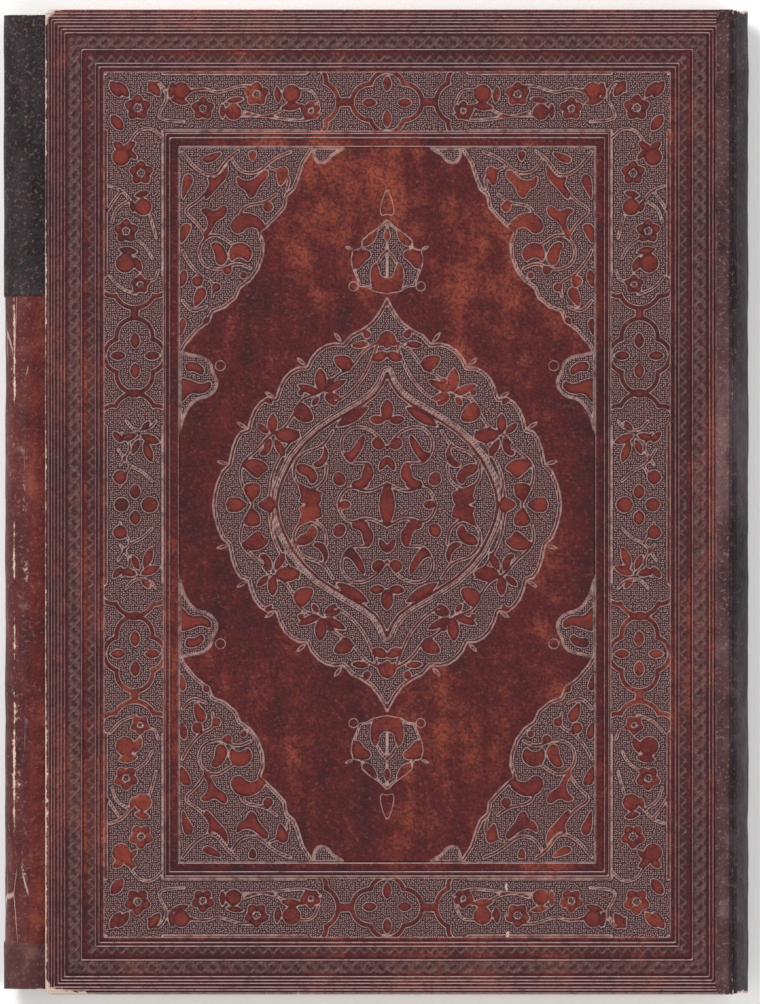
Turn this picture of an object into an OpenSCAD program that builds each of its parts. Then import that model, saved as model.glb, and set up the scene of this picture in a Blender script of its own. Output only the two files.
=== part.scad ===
// A manuscript bound in tooled goatskin, lying closed on its lower cover.
// X runs from the fore edge to the spine, Y from tail to head, Z up through the leaves.
// The spine is on the right, and a fore-edge flap with an envelope flap wraps the left.

/* [Covers] */
// Width of a cover, fore edge to joint
cover_w = 251.4; // [200:1:300]
// Height of a cover, head to tail
cover_h = 360; // [280:1:420]
// Thickness of the pasteboard
board_t = 3; // [2:0.1:5]
// Thickness of the covering leather
leather_t = 1; // [0.8:0.1:1.4]
// Width of the leather turned in over the board's inner face
turn_in = 14; // [10:1:20]
// Thickness of the doublure inside each cover
doublure_t = 0.6; // [0.4:0.1:0.8]
// Radius of the covers' outer arris
arris_r = 1.2; // [0.8:0.1:1.4]
// Radius of a cover's corner seen from above
corner_r = 2.5; // [1.5:0.5:5]
// Width of the repair leather on each cover beside the joint
joint_strip_w = 5.5; // [4:0.5:9]

/* [Leaves] */
// Thickness of the leaves at the fore edge
leaves_t = 38; // [25:1:55]
// How far the leaves stop short of the covers at head and tail
leaves_setback = 3; // [2:0.5:5]
// How far the leaves stop short of the covers at the fore edge
leaves_fore_setback = 1.5; // [1:0.5:4]
// Depth of the hollow in the fore edge of the leaves
fore_hollow = 2; // [1:0.5:3]
// Radius of the sewn silk endbands
endband_r = 1.4; // [1:0.1:1.8]

/* [Spine] */
// How far the rounded spine stands out past the joint
spine_round = 5.9; // [4:0.1:8]
// Thickness of the cloth lining under the spine leather
lining_t = 0.6; // [0.4:0.1:0.8]

/* [Flaps] */
// How far the fore-edge flap stands out past the covers
flap_reach = 15; // [13:0.5:20]
// Radius of the soft leather hinges of the fore-edge flap
hinge_r = 9; // [7:0.5:11]
// Thickness of the board inside the fore-edge flap
flap_board_t = 2.6; // [2:0.2:3.4]
// Thickness of the board inside the envelope flap
envelope_board_t = 2; // [1.6:0.1:2.4]
// How far the flaps stop short of the covers at head and tail
flap_setback = 2; // [1:0.5:4]
// Length of the envelope flap from its hinge to its point
envelope_reach = 126; // [100:1:150]
// Length of the envelope flap's straight sides
envelope_side = 56; // [40:1:70]
// Length of the dark patch at the head of the flap
head_patch_len = 103; // [80:1:130]
// Length of the brown patch at the tail of the flap
tail_patch_len = 17; // [10:1:30]
// Thickness of the patches
patch_t = 0.5; // [0.4:0.1:0.7]

/* [Tooling] */
// Depth of the blind tooling
tool_depth = 0.4; // [0.2:0.05:0.5]
// Half width and half height of the inner field
field_half = [75.9, 130.5];
// Half width and half height of the floral border's inner edge
border_in_half = [81.8, 136.3];
// Half width and half height of the floral border's outer edge
border_out_half = [103.4, 158.2];
// Half width and half height of the narrow cable's middle line
cable_in_half = [108.2, 163];
// Half width and half height of the wide cable's middle line
cable_out_half = [114.3, 169.2];
// Width of a tooled fillet
fillet_w = 0.7; // [0.5:0.1:1]
// Pitch of the stamps in the wide cable
cable_pitch = 4.6; // [3.5:0.1:6]
// Half height of the central medallion
medallion_half_h = 76.5; // [60:0.5:90]

/* [Hidden] */

// Gap left between pieces that touch but are free to part
rest_gap = 0.1;
// Gap between the moving cover and what lies under it
cover_gap = 0.3;
// Gap between the moving cover and the spine
joint_gap = 0.3;
// Extra length that a cutting shape runs past what it cuts
over = 2;

cover_t = board_t + 2 * leather_t;
// The envelope flap lies between the leaves and the upper cover
envelope_t = doublure_t + envelope_board_t + leather_t;
leaves_z0 = cover_t + rest_gap;
leaves_z1 = leaves_z0 + leaves_t;
envelope_z0 = leaves_z1 + rest_gap;
envelope_z1 = envelope_z0 + envelope_t;
upper_z0 = envelope_z1 + cover_gap;
upper_z1 = upper_z0 + cover_t;

// The whole width, flap to spine, is centred on the origin
total_w = flap_reach + cover_w + joint_gap + spine_round;
cover_x0 = -total_w / 2 + flap_reach;
cover_x1 = cover_x0 + cover_w;
cover_mid = (cover_x0 + cover_x1) / 2;
strip_x0 = cover_x1 - joint_strip_w;
flap_x0 = -total_w / 2;
hinge_x = flap_x0 + hinge_r;

// The spine is an arc whose ends meet the joints
spine_x0 = cover_x1 + joint_gap;
spine_half = upper_z1 / 2;
spine_r = (spine_half * spine_half + spine_round * spine_round) / (2 * spine_round);
spine_cx = spine_x0 + spine_round - spine_r;
lining_r = spine_r - leather_t - rest_gap;
leaves_r = lining_r - lining_t - rest_gap;
leaves_x0 = cover_x0 + leaves_fore_setback;
leaves_half_h = cover_h / 2 - leaves_setback;
flap_half_h = cover_h / 2 - flap_setback;
spine_half_h = cover_h / 2;
fine = 96;

// The tooling is centred between the fore edge and the joint strip
tool_x = cover_mid - 0.5;
tool_y = -1;

board_colour = [0.72, 0.6, 0.45];
skin_colour = [0.42, 0.13, 0.08];
dark_colour = [0.16, 0.13, 0.13];
paper_colour = [0.86, 0.8, 0.67];
silk_colour = [0.62, 0.14, 0.1];
doublure_colour = [0.5, 0.27, 0.16];

// Shared shapes

// A rectangle with round corners, made of squares and circles
module round_rect(w, h, r) {
    square([w - 2 * r, h], center = true);
    square([w, h - 2 * r], center = true);
    for (sx = [-1, 1])
        for (sy = [-1, 1])
            translate([sx * (w / 2 - r), sy * (h / 2 - r)]) circle(r, $fn = 32);
}

// A flat slab whose long edges and corners are rounded, standing on z = 0
module soft_slab(w, h, t, edge, corner) {
    intersection() {
        linear_extrude(t) round_rect(w, h, corner);
        translate([0, h / 2 + over, t / 2])
            rotate([90, 0, 0]) linear_extrude(h + 2 * over) round_rect(w, t, edge);
        translate([-w / 2 - over, 0, t / 2])
            rotate([90, 0, 90]) linear_extrude(w + 2 * over) round_rect(h, t, edge);
    }
}

// Draws a shape in a cover's own place: the outer face up at z = cover_t
module in_upper() {
    translate([cover_mid, 0, upper_z0]) children();
}

// The lower cover is the upper one turned face down about the spine's length
module in_lower() {
    translate([cover_mid, 0, cover_t]) mirror([0, 0, 1]) children();
}

// Tooled ornament, drawn flat

// Points of a pointed leaf that lies along +X from the origin
function leaf_points(len, wide, steps = 3) = concat(
    [for (i = [0 : steps]) [len * i / steps, wide / 2 * sin(180 * i / steps)]],
    [for (i = [steps - 1 : -1 : 1]) [len * i / steps, -wide / 2 * sin(180 * i / steps)]]
);

// Points of a flower whose rim swells into petals
function flower_points(r, petals) = [
    for (i = [0 : 2 * petals - 1])
        let (a = 180 * i / petals)
            r * (i % 2 == 0 ? 1 : 0.62) * [cos(a), sin(a)]
];

// Points of a leaf whose tip curls over, along +X from the origin
function curl_points(len, wide) = [
    [0, 0], [len * 0.4, wide * 0.4], [len * 0.85, wide * 0.28], [len, -wide * 0.16],
    [len * 0.8, -wide * 0.5], [len * 0.64, -wide * 0.12], [len * 0.25, -wide * 0.12],
];

module leaf(at, turn, len = 7, wide = 3.4) {
    translate(at) rotate(turn) polygon(leaf_points(len, wide));
}

module flower(at, r = 3.6, petals = 5, turn = 90) {
    translate(at) rotate(turn) polygon(flower_points(r, petals));
}

module curl(at, turn, len = 9, wide = 5, side = 1) {
    translate(at) rotate(turn) scale([1, side]) polygon(curl_points(len, wide));
}

// Four leaves about a point, as in the quatrefoils and at the medallion's ends
module cross_leaves(at, len = 4.6, wide = 3.2) {
    for (a = [0 : 90 : 270]) translate(at) rotate(a) leaf([1, 0], 0, len, wide);
}

// Copies a quarter of a design into all four quarters
module quarters() {
    for (sx = [-1, 1]) for (sy = [-1, 1]) scale([sx, sy]) children();
}

// Points of an arc from a to b that stands out by bulge on the right-hand side
function bulged(a, b, bulge, steps = 6) =
    let (d = b - a, side = [d[1], -d[0]] / norm(d))
        [for (i = [0 : steps - 1]) let (t = i / steps) a + d * t + side * bulge * 4 * t * (1 - t)];

// Points of a curve from a to b that is drawn towards pull
function drawn(a, pull, b, steps = 5) =
    [for (i = [0 : steps - 1]) let (t = i / steps)
        a * (1 - t) * (1 - t) + 2 * pull * t * (1 - t) + b * t * t];

// The medallion's lobes meet at these points, from its side up to its tip
medallion_k = medallion_half_h / 76.5;
cusps = medallion_k * [[58.4, -14.9], [58.4, 14.9], [51, 28.1], [40.7, 39.5], [29.7, 51.2], [16.1, 59.6]];
lobe_bulge = medallion_k * [5.1, 2.4, 3.2, 3.1, 2.9];
tip = [0, medallion_half_h];
tip_pull = medallion_k * [3.4, 65.5];

upper_right = concat(
    [for (p = bulged(cusps[0], cusps[1], lobe_bulge[0])) if (p[1] > 0) p],
    [for (k = [1 : len(cusps) - 2]) each bulged(cusps[k], cusps[k + 1], lobe_bulge[k], 4)],
    drawn(cusps[5], tip_pull, tip),
    [tip]
);
function flipped(points, sx, sy) = [for (p = points) [sx * p[0], sy * p[1]]];
function backwards(points) = [for (i = [len(points) - 1 : -1 : 0]) points[i]];
half_outline = concat(upper_right, backwards([for (p = flipped(upper_right, -1, 1)) if (p[0] < 0) p]));
medallion_outline = concat(
    half_outline,
    backwards([for (p = flipped(half_outline, 1, -1)) p])
);

// The pointed oval inside the medallion
oval_half = medallion_k * [40, 55];
function pointed_oval(hw, hh, steps = 9) = [
    for (q = [0 : 3]) for (i = [0 : steps - 1])
        let (t = i / steps, u = (q % 2 == 0) ? t : 1 - t,
             sx = (q == 0 || q == 3) ? 1 : -1, sy = q < 2 ? 1 : -1)
            [sx * hw * (1 - pow(u, 1.7)), sy * hh * sin(90 * u)]
];

module medallion_motifs() {
    quarters() {
        for (f = [[10, 48, 0], [31.5, 38, 20], [45.5, 24, 60]])
            flower([f[0], f[1]], 6.2, 5, 90 - f[2]);
        leaf([12, 56.5], 30, 7.5, 4.4);
        leaf([36, 30], -60, 7.5, 5.2);
        leaf([46, 13], 0, 8.5, 5.4);
        leaf([20, 45.5], 20, 7, 4.6);
        curl([4.5, 36.5], 40, 9.5, 6);
        curl([15, 30], -35, 9.5, 6);
        curl([26, 17], 60, 10, 6, -1);
        curl([9, 18], 80, 9.5, 6);
        curl([18, 9], -20, 9.5, 6);
        leaf([30, 5.5], 40, 6, 4);
        leaf([4, 8], 60, 8, 4.2);
    }
    for (sx = [-1, 1]) cross_leaves([sx * 49, 0], 6, 5.2);
    for (sy = [-1, 1]) leaf([0, sy * 24], sy * 90, 12, 6);
    cross_leaves([0, 0], 5, 4);
}

module medallion_ground() {
    difference() {
        scale(0.965) polygon(medallion_outline);
        difference() {
            polygon(pointed_oval(oval_half[0] + fillet_w, oval_half[1] + fillet_w));
            polygon(pointed_oval(oval_half[0] - fillet_w, oval_half[1] - fillet_w));
        }
        scale([medallion_k, medallion_k]) medallion_motifs();
    }
}

// A thin line round the medallion, the wall between line and ground left standing
module medallion_line() {
    difference() {
        polygon(medallion_outline);
        scale(0.985) polygon(medallion_outline);
    }
}

// A palmette that hangs above and below the medallion
module pendant(motifs = true) {
    translate([0, 96]) difference() {
        polygon(concat(
            drawn([0, -15], [7, -15], [10, -9]), drawn([10, -9], [15, 0], [10, 6]),
            drawn([10, 6], [4, 8], [0, 17]), drawn([0, 17], [-4, 8], [-10, 6]),
            drawn([-10, 6], [-15, 0], [-10, -9]), drawn([-10, -9], [-7, -15], [0, -15])
        ));
        if (motifs) {
            leaf([0, 3], 90, 9, 3.6);
            for (s = [-1, 1]) {
                curl([s * 2, -12.5], 90 - s * 50, 9, 5, -s);
                curl([s * 3, 0], 90 - s * 60, 7, 4.6, -s);
            }
        }
    }
}

// The lobed corner piece that fills the field's upper right quarter
module corner_ground(motifs = true) {
    translate(field_half) difference() {
        polygon(concat(
            [[0, 0]],
            bulged([0, -75], [-9.5, -60], -2.5, 4), bulged([-9.5, -60], [-22, -52.5], -2.5, 4),
            bulged([-22, -52.5], [-32, -30.5], -3.5, 5), bulged([-32, -30.5], [-41, -16], 1.5, 4),
            bulged([-41, -16], [-49, 0], -2.5, 4), [[-49, 0]]
        ));
        if (motifs) {
            for (c = [[-14, -14, 200, 1], [-26, -11, 240, -1], [-9, -26, 250, 1], [-27, -30, 130, -1],
                      [-17, -40, 20, 1], [-10, -50, 250, -1]])
                curl([c[0], c[1]], c[2], 10.5, 6.5, c[3]);
            for (l = [[-3, -16, 250], [-14, -3, 190], [-31, -4, 200], [-40, -8, 230], [-4, -33, 280],
                      [-20, -21, 225], [-8, -63, 260], [-20, -48, 250]])
                leaf([l[0], l[1]], l[2], 8, 4);
        }
    }
}

// Centre of the floral border's band, and its half width
band_x = (border_in_half[0] + border_out_half[0]) / 2;
band_y = (border_in_half[1] + border_out_half[1]) / 2;
band_half = (border_out_half[0] - border_in_half[0]) / 2;
rosette_y = 54;

// A four-lobed compartment with four petals, its outline left standing
module rosette(at) {
    translate(at) {
        difference() {
            for (a = [0 : 90 : 270]) rotate(a) translate([4.4, 0]) circle(5, $fn = 12);
            for (a = [0 : 90 : 270]) rotate(a) translate([4.4, 0]) circle(4.2, $fn = 12);
            circle(5.5, $fn = 12);
        }
        cross_leaves([0, 0], 6.4, 3.6);
    }
}

module border_quarter_motifs() {
    for (f = [[-14, 0], [-36, 2], [-50, -1], [-70, 3]])
        flower([band_x + f[0], band_y + f[1]]);
    flower([band_x + 0.5, band_y - 1], 4.4);
    for (f = [16, 31, 47, 63])
        flower([band_x + (f % 2 == 0 ? -1.5 : 1.5), band_y - f]);
    for (l = [[-8, 5, 150], [-21, -3, 20], [-28, 4, 200], [-43, -5, 10], [-57, 4, 160], [-64, -4, 30]])
        leaf([band_x + l[0], band_y + l[1]], l[2], 6.5, 4);
    for (l = [[5, -9, 230], [-5, -22, 300], [4, -26, 240], [-6, -38, 290], [5, -54, 250], [-5, -58, 300],
              [-4, -74, 280]])
        leaf([band_x + l[0], band_y + l[1]], l[2], 6.5, 4);
}

module border_motifs() {
    quarters() {
        border_quarter_motifs();
        rosette([band_x, rosette_y]);
        leaf([band_x - 3, 38], 120, 7, 3.4);
        flower([band_x, 26], 5.4);
        leaf([band_x - 5, 12], 60, 7, 4);
    }
    for (sx = [-1, 1]) cross_leaves([sx * band_x, 0], 6, 4);
    for (sy = [-1, 1]) rosette([0, sy * band_y]);
}

module frame_between(outer, inner) {
    difference() {
        square(2 * outer, center = true);
        square(2 * inner, center = true);
    }
}

// A single tooled line round the design at this half size
module fillet(half) {
    frame_between(half + [fillet_w, fillet_w] / 2, half - [fillet_w, fillet_w] / 2);
}

// One leaning stamp of the wide cable
module cable_stamp() {
    polygon([[-1.7, -1.2], [-0.5, -1.2], [1.7, 1.2], [0.5, 1.2]]);
}

module cable_row(half) {
    for (s = [-1, 1]) {
        count_x = floor(2 * half[0] / cable_pitch);
        for (i = [0 : count_x])
            translate([-half[0] + 2 * half[0] * i / count_x, s * half[1]]) cable_stamp();
        count_y = floor(2 * half[1] / cable_pitch);
        for (i = [1 : count_y - 1])
            translate([s * half[0], -half[1] + 2 * half[1] * i / count_y]) rotate(90) cable_stamp();
    }
}

// Half size of a frame that is larger than the wide cable by this much all round
function outside_cable(by) = cable_out_half + [by, by];

// Everything that the tools sink into the upper cover
module upper_tooling() {
    for (by = [2.6, 4.6, 6.4, 8.2]) fillet(outside_cable(by));
    cable_row(cable_out_half);
    fillet((cable_out_half + cable_in_half) / 2);
    fillet(cable_in_half + [1.5, 1.5]);
    fillet(cable_in_half - [1.5, 1.5]);
    difference() {
        frame_between(border_out_half, border_in_half);
        border_motifs();
    }
    fillet(field_half + [3.4, 3.4]);
    quarters() corner_ground();
    medallion_line();
    medallion_ground();
    for (sy = [-1, 1]) scale([1, sy]) pendant();
}

// The lower cover has the same scheme in plain sunk panels
module lower_tooling() {
    for (by = [2.6, 4.6, 6.4, 8.2]) fillet(outside_cable(by));
    fillet((cable_out_half + cable_in_half) / 2);
    frame_between(border_out_half, border_in_half);
    fillet(field_half + [3.4, 3.4]);
    quarters() corner_ground(false);
    medallion_line();
    scale(0.965) polygon(medallion_outline);
    for (sy = [-1, 1]) scale([1, sy]) pendant(false);
}

// Covers

// The part of a cover's outline between two values of X
module cover_span(x0, x1) {
    intersection() {
        soft_slab(cover_w, cover_h, cover_t, arris_r, corner_r);
        translate([x0 - cover_mid, -cover_h / 2 - over, -over])
            cube([x1 - x0, cover_h + 2 * over, cover_t + 2 * over]);
    }
}

module board_space(grow = 0) {
    translate([0, 0, leather_t - grow])
        linear_extrude(board_t + 2 * grow)
            square([cover_w - 2 * leather_t + 2 * grow, cover_h - 2 * leather_t + 2 * grow], center = true);
}

module doublure_window() {
    translate([0, 0, -over])
        linear_extrude(leather_t + over + rest_gap)
            square([cover_w - 2 * turn_in, cover_h - 2 * turn_in], center = true);
}

module cover_board() {
    board_space();
}

// The leather wraps the board and turns in, stopping at the repair leather
module cover_skin() {
    difference() {
        cover_span(cover_x0 - over, strip_x0);
        board_space();
        doublure_window();
        translate([tool_x - cover_mid, tool_y, cover_t - tool_depth])
            linear_extrude(tool_depth + over) children();
    }
}

module joint_strip() {
    difference() {
        cover_span(strip_x0 + rest_gap, cover_x1 + over);
        board_space();
    }
}

module doublure_sheet() {
    w = cover_w - 2 * turn_in - 2 * rest_gap;
    h = cover_h - 2 * turn_in - 2 * rest_gap;
    translate([0, 0, leather_t - doublure_t]) linear_extrude(doublure_t) square([w, h], center = true);
}

module upper_board() {
    color(board_colour) in_upper() cover_board();
}

module upper_cover_leather() {
    color(skin_colour) in_upper() cover_skin() upper_tooling();
}

module upper_doublure() {
    color(doublure_colour) in_upper() doublure_sheet();
}

module upper_joint_strip() {
    color(dark_colour) in_upper() joint_strip();
}

module lower_board() {
    color(board_colour) in_lower() cover_board();
}

module lower_cover_leather() {
    color(skin_colour) in_lower() cover_skin() lower_tooling();
}

module lower_doublure() {
    color(doublure_colour) in_lower() doublure_sheet();
}

module lower_joint_strip() {
    color(dark_colour) in_lower() joint_strip();
}

// Leaves and spine

// Sweeps a section drawn in X and Z along Y, centred on the origin
module along_y(len) {
    translate([0, len / 2, 0]) rotate([90, 0, 0]) linear_extrude(len) children();
}

module spine_disc(r) {
    translate([spine_cx, upper_z1 / 2]) circle(r, $fn = fine);
}

// The leaves swell towards the sewing, and so fill the space that the flap takes up
module text_block() {
    swell_z = upper_z0 - rest_gap;
    flap_end = hinge_x + envelope_reach;
    color(paper_colour) along_y(2 * leaves_half_h) difference() {
        intersection() {
            polygon([
                [leaves_x0, leaves_z0], [spine_x0 + spine_round, leaves_z0],
                [spine_x0 + spine_round, swell_z - cover_gap], [flap_end + 70, swell_z - cover_gap],
                [flap_end + 6, leaves_z1], [leaves_x0, leaves_z1],
            ]);
            union() {
                spine_disc(leaves_r);
                translate([leaves_x0, 0]) square([spine_cx - leaves_x0, upper_z1]);
            }
        }
        translate([leaves_x0 - leaves_t + fore_hollow, (leaves_z0 + leaves_z1) / 2])
            circle(leaves_t, $fn = fine);
    }
}

// An arc-shaped layer of the spine, between two radii and two heights
module spine_layer(r_out, r_in, z0, z1, len) {
    along_y(len) intersection() {
        difference() {
            spine_disc(r_out);
            spine_disc(r_in);
        }
        translate([spine_x0, z0]) square([spine_round + over, z1 - z0]);
    }
}

module spine_lining() {
    color(board_colour)
        spine_layer(lining_r, lining_r - lining_t, leaves_z0, upper_z0 - cover_gap, 2 * leaves_half_h);
}

module spine_leather() {
    color(dark_colour) spine_layer(spine_r, spine_r - leather_t, 0, upper_z1, 2 * spine_half_h);
}

// A silk band sewn round a core along the end of the spine
module endband(end) {
    path_r = leaves_r - endband_r - rest_gap;
    sweep = asin((spine_half - cover_t - endband_r - 1.5) / path_r);
    color(silk_colour)
        translate([spine_cx, end * (leaves_half_h + endband_r + rest_gap), upper_z1 / 2])
            rotate([90, 0, 0]) rotate([0, 0, -sweep]) rotate_extrude(angle = 2 * sweep, $fn = fine)
                translate([path_r, 0]) circle(endband_r, $fn = 24);
}

module head_endband() {
    endband(1);
}

module tail_endband() {
    endband(-1);
}

// Flaps

// Section of the soft leather that wraps the fore edge, from a radius out to another
module wrap_section(r_out, r_in) {
    z_low = hinge_r;
    z_high = envelope_z1 - hinge_r;
    for (side = [[z_low, -1], [z_high, 1]])
        translate([hinge_x, side[0]]) intersection() {
            difference() {
                circle(r_out, $fn = fine);
                circle(r_in, $fn = fine);
            }
            translate([-r_out - over, side[1] > 0 ? 0 : -r_out - over]) square(r_out + over);
        }
    translate([hinge_x - r_out, z_low]) square([r_out - r_in, z_high - z_low]);
}

// The leather is one skin: lower hinge, fore-edge flap, upper hinge and envelope flap
module flap_leather() {
    color(skin_colour) {
        difference() {
            along_y(2 * flap_half_h) {
                wrap_section(hinge_r, hinge_r - leather_t);
                translate([hinge_x, 0]) square([cover_x0 - rest_gap - hinge_x, leather_t]);
            }
            patch_bed(flap_half_h - head_patch_len - rest_gap / 2, flap_half_h + over);
            patch_bed(-flap_half_h - over, -flap_half_h + tail_patch_len + rest_gap / 2);
        }
        translate([0, 0, envelope_z1 - leather_t]) linear_extrude(leather_t) envelope_shape(0);
    }
}

// The leather is pared where a patch lies over it, between two values of Y
module patch_bed(y0, y1) {
    translate([0, (y0 + y1) / 2, 0]) along_y(y1 - y0) intersection() {
        wrap_section(hinge_r + over, hinge_r - patch_t - rest_gap / 2);
        translate([flap_x0 - over, -over]) square([hinge_r + over, envelope_z1 + 2 * over]);
    }
}

// The envelope flap's five-sided outline, less a margin
module envelope_shape(margin) {
    half = flap_half_h - margin;
    x0 = hinge_x + margin;
    polygon([
        [x0, -half], [hinge_x + envelope_side, -half], [hinge_x + envelope_reach - margin * 1.6, 0],
        [hinge_x + envelope_side, half], [x0, half],
    ]);
}

module fore_edge_flap_board() {
    color(board_colour)
        translate([flap_x0 + leather_t + rest_gap / 2, -flap_half_h + 1, hinge_r])
            cube([flap_board_t, 2 * flap_half_h - 2, envelope_z1 - 2 * hinge_r]);
}

module fore_edge_flap_lining() {
    color(doublure_colour)
        translate([flap_x0 + leather_t + flap_board_t + rest_gap, -flap_half_h + 1, hinge_r])
            cube([doublure_t, 2 * flap_half_h - 2, envelope_z1 - 2 * hinge_r]);
}

module envelope_flap_board() {
    color(board_colour) translate([0, 0, envelope_z0 + doublure_t])
        linear_extrude(envelope_board_t) envelope_shape(2.5);
}

module envelope_flap_doublure() {
    color(doublure_colour) translate([0, 0, envelope_z0]) linear_extrude(doublure_t) envelope_shape(1.5);
}

// A patch of newer leather pasted over the flap between two values of Y
module flap_patch(y0, y1) {
    translate([0, (y0 + y1) / 2, 0]) along_y(y1 - y0) intersection() {
        wrap_section(hinge_r, hinge_r - patch_t);
        translate([flap_x0 - over, 0]) square([hinge_r + over, envelope_z1]);
    }
}

module head_repair_patch() {
    color(dark_colour) flap_patch(flap_half_h - head_patch_len, flap_half_h);
}

module tail_repair_patch() {
    color(skin_colour) flap_patch(-flap_half_h, -flap_half_h + tail_patch_len);
}

text_block();
spine_lining();
spine_leather();
head_endband();
tail_endband();
lower_board();
lower_cover_leather();
lower_doublure();
lower_joint_strip();
upper_board();
upper_cover_leather();
upper_doublure();
upper_joint_strip();
fore_edge_flap_board();
envelope_flap_board();
flap_leather();
fore_edge_flap_lining();
envelope_flap_doublure();
head_repair_patch();
tail_repair_patch();
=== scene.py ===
"""A manuscript bound in blind-tooled goatskin, lying closed and seen from above."""
import math

import bpy
import numpy as np
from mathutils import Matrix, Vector


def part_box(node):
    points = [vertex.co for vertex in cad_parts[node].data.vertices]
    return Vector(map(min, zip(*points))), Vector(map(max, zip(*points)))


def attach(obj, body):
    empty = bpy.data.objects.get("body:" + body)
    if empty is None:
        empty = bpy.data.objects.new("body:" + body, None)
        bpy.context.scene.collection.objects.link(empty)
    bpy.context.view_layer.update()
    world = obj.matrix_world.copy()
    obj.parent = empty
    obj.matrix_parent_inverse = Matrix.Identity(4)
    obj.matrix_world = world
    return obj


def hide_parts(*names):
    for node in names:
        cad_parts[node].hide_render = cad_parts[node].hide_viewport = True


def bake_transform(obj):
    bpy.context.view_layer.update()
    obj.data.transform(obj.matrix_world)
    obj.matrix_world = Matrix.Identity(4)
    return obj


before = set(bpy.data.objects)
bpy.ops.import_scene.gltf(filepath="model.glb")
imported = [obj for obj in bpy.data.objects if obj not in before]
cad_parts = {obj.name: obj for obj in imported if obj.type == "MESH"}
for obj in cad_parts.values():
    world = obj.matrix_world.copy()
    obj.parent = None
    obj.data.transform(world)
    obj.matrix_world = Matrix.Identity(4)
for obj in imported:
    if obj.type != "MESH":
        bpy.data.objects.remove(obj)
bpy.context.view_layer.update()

MM = 0.001


# ---------------------------------------------------------------- sizes

skin_low, skin_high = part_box("upper_cover_leather")
strip_low, strip_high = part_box("upper_joint_strip")
lower_low, lower_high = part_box("lower_cover_leather")
spine_low, spine_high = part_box("spine_leather")
flap_low, flap_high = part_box("flap_leather")
patch_low, patch_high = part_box("head_repair_patch")
tail_low, tail_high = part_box("tail_repair_patch")
board_low, board_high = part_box("upper_board")
band_low, band_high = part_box("head_endband")

TOP = float(skin_high[2])
COVER_X0 = float(skin_low[0])
COVER_X1 = float(strip_high[0])
STRIP_X0 = float(strip_low[0])
HALF_H = float(skin_high[1])
COVER_T = float(skin_high[2] - skin_low[2])

# The design is drawn in units of 0.367 mm, in its upper left quarter, and mirrored
UNIT = 0.367
DRAWN_CX, DRAWN_CY = 386.0, 503.5
DESIGN_X, DESIGN_Y = 3.7, -1.0
FRAME_STEP = 54.7


# ---------------------------------------------------------------- drawing with distances

STEP = 0.3
RU, RV = np.meshgrid(np.arange(0, 129, STEP), np.arange(0, 183, STEP), indexing="ij")


def place(points):
    """Drawn points of the upper left quarter as distances in mm left of and above the centre."""
    p = np.asarray(points, float).reshape(-1, 2)
    return np.stack([(DRAWN_CX - p[:, 0]) * UNIT, (DRAWN_CY - p[:, 1]) * UNIT], 1)


def soften(points, rounds=2, closed=True):
    """Cuts each corner of a line at a quarter and three quarters of its edges, a few times over."""
    p = np.asarray(points, float)
    for _ in range(rounds):
        a, b = (p, np.roll(p, -1, 0)) if closed else (p[:-1], p[1:])
        q = np.stack([0.75 * a + 0.25 * b, 0.25 * a + 0.75 * b], 1).reshape(-1, 2)
        p = q if closed else np.concatenate([p[:1], q, p[-1:]])
    return p


def near(points, reach):
    """The part of the quarter's raster that lies within reach of these points."""
    lo, hi = np.min(points, 0) - reach, np.max(points, 0) + reach
    i0, j0 = np.maximum((lo / STEP).astype(int), 0)
    i1, j1 = np.maximum((hi / STEP).astype(int) + 2, 0)
    return np.s_[i0:i1, j0:j1]


def line_distance(u, v, points):
    """Distance to an open line of straight pieces: for each piece, the distance to its nearest point."""
    best = np.full(u.shape, 1e9)
    for (ax, ay), (bx, by) in zip(points[:-1], points[1:]):
        ex, ey = bx - ax, by - ay
        t = np.clip(((u - ax) * ex + (v - ay) * ey) / max(ex * ex + ey * ey, 1e-9), 0, 1)
        best = np.minimum(best, (u - ax - ex * t) ** 2 + (v - ay - ey * t) ** 2)
    return np.sqrt(best)


def shape_distance(u, v, points):
    """Signed distance to a closed outline: the distance to its edges, negative where a ray crosses it an odd number of times."""
    inside = np.zeros(u.shape, bool)
    closed = np.concatenate([points, points[:1]])
    for (ax, ay), (bx, by) in zip(closed[:-1], closed[1:]):
        if ay == by:
            continue
        crosses = (v >= min(ay, by)) & (v < max(ay, by))
        inside ^= crosses & (u < ax + (v - ay) * (bx - ax) / (by - ay))
    d = line_distance(u, v, closed)
    return np.where(inside, -d, d)


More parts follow.
